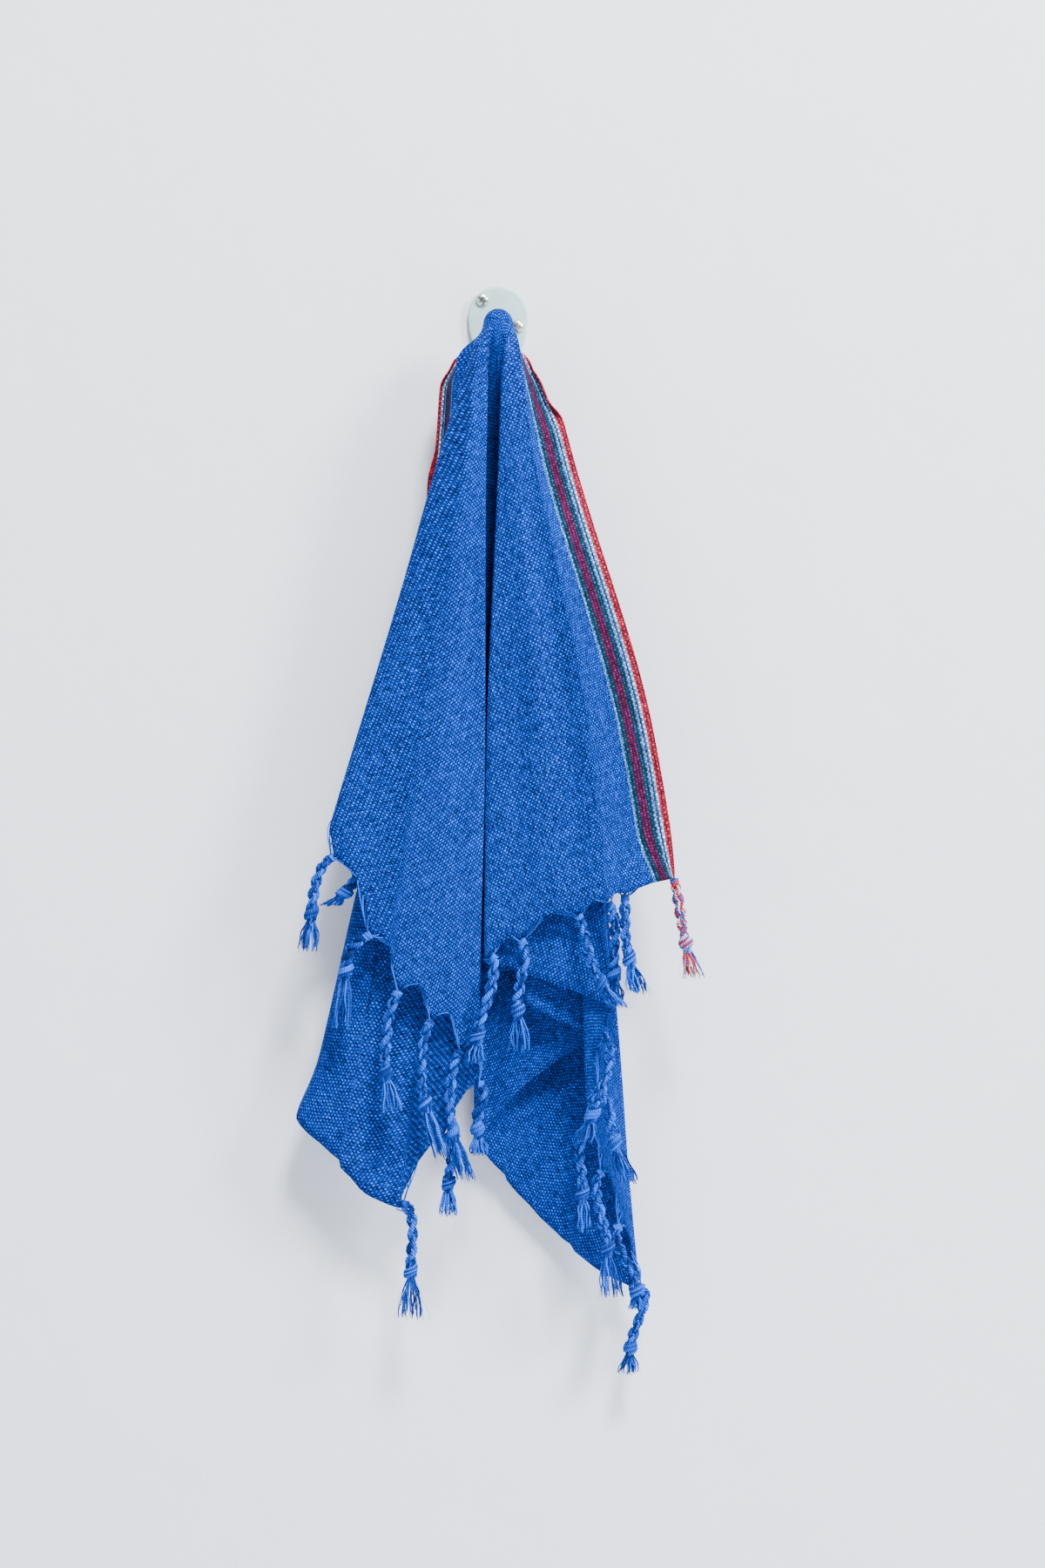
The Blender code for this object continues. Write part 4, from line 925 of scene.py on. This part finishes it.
def cotton_weave():
    """The cloth's cotton: blue threads of uneven dye both ways, and coloured warp along one edge."""
    material, tree, shader = new_cotton("cotton_weave", 0.92, 0.08, 0.04, (0.10, 0.35, 1.0))
    flat = add_node(tree, "UVMap", uv_map="UVMap").outputs["UV"]
    out_from_hook = add_node(tree, "SeparateXYZ", {"Vector": flat}).outputs["Y"]
    from_edge = arithmetic(tree, "ADD", out_from_hook, STRIPED_EDGE * MM)
    in_band = arithmetic(tree, "LESS_THAN", from_edge, STRIPE_THREADS[-1][0])
    pitch = arithmetic(tree, "MULTIPLY_ADD", in_band, BAND_WIDER, WARP_PITCH)
    weave = {"Flat": flat, "Warp pitch": pitch, "Weft pitch": WEFT_PITCH}
    weave = add_node(tree, "Group", weave, node_tree=weave_group()).outputs

    # the colour of each thread: the blue ones, and the striped warp over a deep blue weft
    warp = colour_ramp(tree, weave["Warp tone"], ((0.2, BLUE_DEEP), (0.5, BLUE_WARP), (0.9, BLUE_WEFT)))
    weft = colour_ramp(tree, weave["Weft tone"], ((0.1, BLUE_WEFT), (0.9, BLUE_PALE)))
    share = arithmetic(tree, "DIVIDE", from_edge, STRIPES_SPAN)
    stops = [(place / STRIPES_SPAN, colour) for place, colour in STRIPE_THREADS]
    uneven = arithmetic(tree, "MULTIPLY_ADD", weave["Warp tone"], 1.1, 0.45)
    stripes = shaded(tree, colour_ramp(tree, share, stops, steps=True), uneven)
    warp = blend_colours(tree, in_band, warp, stripes)
    weft = blend_colours(tree, in_band, weft, (*BLUE_DEEP, 1.0))
    weft_shown = arithmetic(tree, "MULTIPLY_ADD", in_band, -0.3, 1.0)
    weft_shown = arithmetic(tree, "MULTIPLY", weave["Weft on top"], weft_shown)
    threads = blend_colours(tree, weft_shown, warp, weft)

    # faded in patches, with painted shade in the gaps between the threads and a painted highlight on their
    # crowns, and uneven from crossing to crossing
    faded = colour_ramp(
        tree, noise(tree, flat, 9.0, 4.0, 0.6), ((0.3, (0.80, 0.82, 0.86)), (0.72, (1.12, 1.10, 1.06)))
    )
    # painted shade and highlight: darker where the weave lies low, lighter on the threads' crowns
    depth = colour_ramp(
        tree, weave["Height"],
        ((0.30, (0.10, 0.12, 0.16)), (0.62, (0.50, 0.56, 0.60)), (0.92, (1.30, 1.50, 1.55))),
    )
    for tone in (faded, depth):
        threads = blend_colours(tree, 1.0, threads, tone, "MULTIPLY")
    clump = stretched_noise(tree, flat, (170.0, 600.0, 1.0), 2.0, 0.7)
    clump = arithmetic(tree, "MAXIMUM", arithmetic(tree, "MULTIPLY_ADD", clump, 3.4, -0.7), 0.3)
    dot = arithmetic(tree, "MULTIPLY_ADD", weave["Crossing tone"], 0.8, 0.58)
    threads = shaded(tree, threads, arithmetic(tree, "MULTIPLY", dot, clump))
    tree.links.new(threads, shader.inputs["Base Color"])
    roughen(tree, shader, arithmetic(tree, "MULTIPLY_ADD", weave["Slub"], 0.5, weave["Height"]), 0.75, 0.0004)
    return material


woven_cotton = weave_cloth(cotton_weave())
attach(woven_cotton, "root")
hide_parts("towel")


# The fringe: at each end the warp is left uncut, gathered every 46 mm, and twisted into a two-ply cord
# that ends in an overhand knot and a loose tail. The gathered threads run along the arches between.
ROOT_GAP, ROOT_ARM, ROOT_FORWARD, KNOT_ARM, RIM_PROBE = 0.9, 12.0, 0.6, 10.0, 3.0
CORD_PITCH, CORD_STEP, PLY_OFF, YARN_OFF = 17.0, 1.7, 2.15, 1.2
PLY_YARNS, YARN_RADIUS = 5, 0.98
KNOT_LONG, KNOT_OFF, KNOT_TURNS, KNOT_CORES, KNOT_WRAPS, KNOT_WAIST = 11.0, 4.6, 1.35, 7, 5, 1.8
TAIL_YARNS, TAIL_RADIUS, STRAY_FIBRES, STRAY_RADIUS, TAIL_ROWS = 26, 0.62, 14, 0.16, 14
ROOT_WRAPS, ROOT_OFF = 3, 2.55
GATHERED, GATHERED_RADIUS, GATHERED_ROWS = (6.0, 10.0, 14.0, 18.0, 21.5), 0.42, 9
YARN_SIDES, FIRST_SEED = 6, 40


def as_mesh(name, yarns, material):
    """One piece of many yarns, each (places, radii, tone). Its UV is metres along, and round from 0 to 1."""
    curve = bpy.data.curves.new(name, "CURVE")
    curve.dimensions, curve.bevel_depth, curve.bevel_resolution = "3D", MM, YARN_SIDES // 2 - 2
    for places, radii, _ in yarns:
        spline = curve.splines.new("POLY")
        spline.points.add(len(places) - 1)
        spline.points.foreach_set("co", np.column_stack([places * MM, np.ones(len(places))]).ravel())
        spline.points.foreach_set("radius", np.broadcast_to(radii, len(places)).astype(float))
    drawn = in_scene(name, curve)
    mesh = bpy.data.meshes.new_from_object(drawn.evaluated_get(bpy.context.evaluated_depsgraph_get()))
    bpy.data.objects.remove(drawn)
    rows = [len(places) for places, _, _ in yarns]
    around = len(mesh.vertices) // sum(rows)
    tones = np.repeat([tone for _, _, tone in yarns], [count * around for count in rows])
    mesh.attributes.new("tone", "FLOAT", "POINT").data.foreach_set("value", tones)
    lengths = [np.linalg.norm(np.diff(places, axis=0), axis=1).sum() * MM for places, _, _ in yarns]
    uv = np.zeros(len(mesh.loops) * 2)
    mesh.uv_layers[0].data.foreach_get("uv", uv)
    uv[0::2] *= np.repeat(lengths, [4 * around * (count - 1) for count in rows])
    mesh.uv_layers[0].data.foreach_set("uv", uv)
    mesh.materials.clear()
    mesh.materials.append(material)
    mesh.shade_smooth()
    return in_scene(name, mesh)


def cubic(start, leaving, stop, arriving, count):
    """Places on a cubic curve by the arms at its ends."""
    t = np.linspace(0, 1, count)[:, None]
    one, two = start + leaving, stop - arriving
    return (1 - t) ** 3 * start + 3 * t * (1 - t) ** 2 * one + 3 * t**2 * (1 - t) * two + t**3 * stop


def beside(path):
    """Two unit vectors square to a path at each of its places, the second one nearer the depth."""
    ahead = np.gradient(path, axis=0)
    ahead /= np.maximum(np.linalg.norm(ahead, axis=1, keepdims=True), 1e-9)
    side = np.cross((0.0, 1.0, 0.0), ahead)
    side /= np.maximum(np.linalg.norm(side, axis=1, keepdims=True), 1e-9)
    return side, np.cross(ahead, side)


def round_path(path, angle, off):
    """A path wound round another, by its angle and its distance at each place."""
    side, deep = beside(path)
    off = np.broadcast_to(off, len(path))[:, None]
    return path + off * (np.cos(angle)[:, None] * side + np.sin(angle)[:, None] * deep)


def tassel_root(end, u):
    """Where a tassel leaves the rim, and the way square to the rim, down and in the cloth's face."""
    before, root, after = rim_at(end, [u - RIM_PROBE, u, u + RIM_PROBE])
    outward = np.array([after[2] - before[2], 0, before[0] - after[0]])
    outward /= np.linalg.norm(outward)
    outward *= -1 if outward[2] > 0 else 1
    return root + outward * ROOT_GAP, outward


def twisted_cord(root, leaving, knot, arriving, chance):
    """Yarns of the two plies, from the root into the knot."""
    rough = cubic(root, leaving, knot, arriving, 40)
    length = np.linalg.norm(np.diff(rough, axis=0), axis=1).sum()
    path = cubic(root, leaving, knot, arriving, max(8, round(length / CORD_STEP)))
    run = np.linspace(0, length, len(path))
    full = 0.35 + 0.65 * ease(run / 7) - 0.25 * ease((run - length + 5) / 5)
    start = chance.uniform(0, 2 * math.pi)
    uneven = 1 + 0.08 * np.sin(run / 5.3 + start)
    turn = start + 2 * math.pi * run / CORD_PITCH
    yarns = []
    for ply in range(2):
        middle = round_path(path, turn + math.pi * ply, PLY_OFF * full * uneven)
        for yarn in range(PLY_YARNS):
            own = 2 * math.pi * yarn / PLY_YARNS - 1.5 * turn + chance.uniform(-0.25, 0.25)
            yarns.append((
                round_path(middle, own, YARN_OFF * full * uneven),
                YARN_RADIUS * (0.75 + 0.25 * full), chance.uniform(0.2, 0.7) + 0.12 * ply,
            ))
    return yarns


def overhand_knot(knot, ahead, chance):
    """Yarns of the knot: some straight through it, and a band of them wound round."""
    f = np.linspace(0, 1, 16)
    axis = knot + np.linspace(-2.5, KNOT_LONG, 16)[:, None] * ahead
    swell = 1.3 + 1.1 * np.sin(np.linspace(0, math.pi, 16)) ** 0.6
    yarns = []
    for yarn in range(KNOT_CORES):
        angle = 2 * math.pi * yarn / KNOT_CORES + 1.2 * f
        yarns.append((round_path(axis, angle, swell), YARN_RADIUS, chance.uniform(0.3, 0.7)))
    f = np.linspace(0, 1, 26)
    angle = chance.uniform(0, 2 * math.pi) + 2 * math.pi * KNOT_TURNS * f
    for place in range(-(KNOT_WRAPS // 2), KNOT_WRAPS // 2 + 1):
        along = 1.6 + 4.6 * f + 1.3 * np.cos(angle) + place * 1.05
        bulge = KNOT_WAIST + (KNOT_OFF - KNOT_WAIST) * np.sin(math.pi * f) ** 0.35 - 0.22 * abs(place)
        wound = round_path(knot + along[:, None] * ahead, angle, bulge)
        yarns.append((wound, YARN_RADIUS, chance.uniform(0.3, 0.8)))
    return yarns


def loose_tail(knot, ahead, tip, spread, chance):
    """Yarns of the tail, fanned out and kinked, and a few stray fibres."""
    below = knot + ahead * (KNOT_LONG - 2.5)
    tail = tip - below
    t = np.linspace(0, 1, TAIL_ROWS)
    yarns = []
    for stray in [False] * TAIL_YARNS + [True] * STRAY_FIBRES:
        angle, far = chance.uniform(0, 2 * math.pi), math.sqrt(chance.uniform(0.02, 1))
        fling = np.array([math.cos(angle), 0.45 * math.sin(angle), 0]) * far
        reach = chance.uniform(0.80, 1.04) * (1.06 if stray else 1.0)
        stop = below + tail * reach + fling * spread * 0.92 * reach * (1.15 if stray else 1)
        arriving = tail * 0.3 - fling * chance.uniform(-1, 2)
        path = cubic(below + fling * 2.4, ahead * 5 + fling * 2.5, stop, arriving, TAIL_ROWS)
        wave = ease(t * 2) * (chance.uniform(0.25, 0.75) * (1.5 if stray else 1))
        phase = chance.uniform(0, 6.3, 2)
        path[:, 0] += wave * np.sin(t * chance.uniform(5, 11) + phase[0])
        path[:, 1] += wave * 0.6 * np.sin(t * chance.uniform(5, 11) + phase[1])
        thick = STRAY_RADIUS if stray else TAIL_RADIUS * chance.uniform(0.75, 1.15)
        yarns.append((path, thick * (1 - 0.45 * t**3), chance.uniform(0.15, 1.0)))
    return yarns


def root_wrap(root, outward, chance):
    """The half knot at the cloth's edge that holds the gathered threads."""
    f = np.linspace(0, 1, 20)
    yarns = []
    for yarn in range(ROOT_WRAPS):
        angle = chance.uniform(0, 2 * math.pi) + 2 * math.pi * 1.1 * f
        axis = root + (0.6 + yarn * 1.25 + 0.9 * np.cos(angle))[:, None] * outward
        wound = round_path(axis, angle, ROOT_OFF - 0.3 * f)
        yarns.append((wound, YARN_RADIUS * 0.9, chance.uniform(0.3, 0.9)))
    return yarns


def gathered_threads(end, u, root, outward, chance):
    """Warp threads that leave the arch on each side of a tassel and run along its edge to the root."""
    roots = [row[0] for row in TASSELS[end]]
    yarns = []
    for side in (-1, 1):
        other = roots.index(u) + side
        room = abs(roots[other] - u) / 2 if 0 <= other < len(roots) else 12.0
        for far in [far for far in GATHERED if far <= min(room, SCALLOP_MOST / 2)]:
            edge = rim_at(end, u + side * np.linspace(far, 0.4, GATHERED_ROWS))
            sag = np.sin(np.linspace(0, math.pi, GATHERED_ROWS))[:, None] * chance.uniform(0.4, 2.0)
            path = edge + outward * sag + outward * np.linspace(-1.2, 1.8, GATHERED_ROWS)[:, None]
            path[:, 1] += chance.uniform(-0.5, 0.5)
            yarns.append((path, GATHERED_RADIUS, chance.uniform(0.3, 1.0)))
    return yarns


def cotton_yarn(name, stops, mottle, steps=False):
    """Twisted cotton: each yarn's own tone, with fibres that wind round it, painted shade in the grooves of
    their twist, and a dusty sheen.
    """
    material, tree, shader = new_cotton(name, 0.9, 0.1, 0.05, (0.15, 0.40, 1.0))
    own = add_node(tree, "Attribute", attribute_name="tone").outputs["Fac"]
    uv = add_node(tree, "UVMap", uv_map="UVMap").outputs["UV"]
    parts = add_node(tree, "SeparateXYZ", {"Vector": uv}).outputs
    wound = arithmetic(tree, "MULTIPLY_ADD", parts["X"], 330.0, parts["Y"])
    lay = {"X": arithmetic(tree, "MULTIPLY", wound, 7.0), "Y": parts["X"]}
    lay = add_node(tree, "CombineXYZ", lay).outputs[0]
    fibres = stretched_noise(tree, lay, (1.0, 160.0, 1.0), 4.0)
    ply = arithmetic(tree, "SINE", arithmetic(tree, "MULTIPLY", wound, 4 * math.pi))
    tone = arithmetic(tree, "MULTIPLY_ADD", fibres, mottle, arithmetic(tree, "SUBTRACT", own, mottle / 2))
    # painted shade: the colour darkens in the grooves of the twist
    shade = arithmetic(tree, "MULTIPLY_ADD", ply, 0.45, 0.75)
    colour = shaded(tree, colour_ramp(tree, tone, stops, steps), shade)
    tree.links.new(colour, shader.inputs["Base Color"])
    relief = arithmetic(tree, "MULTIPLY_ADD", fibres, 0.8, arithmetic(tree, "MULTIPLY", ply, 0.5))
    roughen(tree, shader, relief, 0.7, 0.0003)
    return material


blue_yarn = cotton_yarn(
    "blue_yarn",
    ((0.15, (0.001, 0.005, 0.050)), (0.45, (0.003, 0.028, 0.25)), (0.78, (0.014, 0.140, 0.92))), 1.2,
)
striped_yarn = cotton_yarn(
    "striped_yarn",
    (
        (0.0, (0.50, 0.012, 0.008)), (0.27, (0.003, 0.026, 0.24)), (0.34, (0.60, 0.080, 0.015)),
        (0.39, (0.62, 0.64, 0.74)), (0.45, (0.010, 0.085, 0.55)), (0.52, (0.46, 0.008, 0.016)),
        (0.58, (0.004, 0.036, 0.060)), (0.63, (0.010, 0.085, 0.55)), (0.70, (0.52, 0.012, 0.020)),
        (0.78, (0.20, 0.36, 0.76)), (0.86, (0.006, 0.050, 0.42)), (0.94, (0.62, 0.64, 0.74)),
    ), 0.16, steps=True,
)
fringe = []
for end in TASSELS:
    for number, (u, knot_across, knot_down, tip_across, tip_down, out, spread) in enumerate(TASSELS[end], 1):
        chance = np.random.default_rng(FIRST_SEED + len(fringe))
        root, outward = tassel_root(end, u)
        knot = root + (knot_across, -out, -knot_down)
        tip = root + (tip_across, -out, -tip_down)
        ahead = (tip - knot) / np.linalg.norm(tip - knot)
        leaving = outward * ROOT_ARM - (0, out * ROOT_FORWARD, 0)
        yarns = twisted_cord(root, leaving, knot, ahead * KNOT_ARM, chance)
        yarns += overhand_knot(knot, ahead, chance) + loose_tail(knot, ahead, tip, spread, chance)
        yarns += root_wrap(root, outward, chance)
        if u > 0:
            yarns += gathered_threads(end, u, root, outward, chance)
        yarn = striped_yarn if u < 0 else blue_yarn
        tassel = as_mesh(f"twisted_tassel_{end}_{number}", yarns, yarn)
        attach(tassel, "root")
        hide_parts(f"tassel_{end}_{number}")
        fringe.append(tassel)
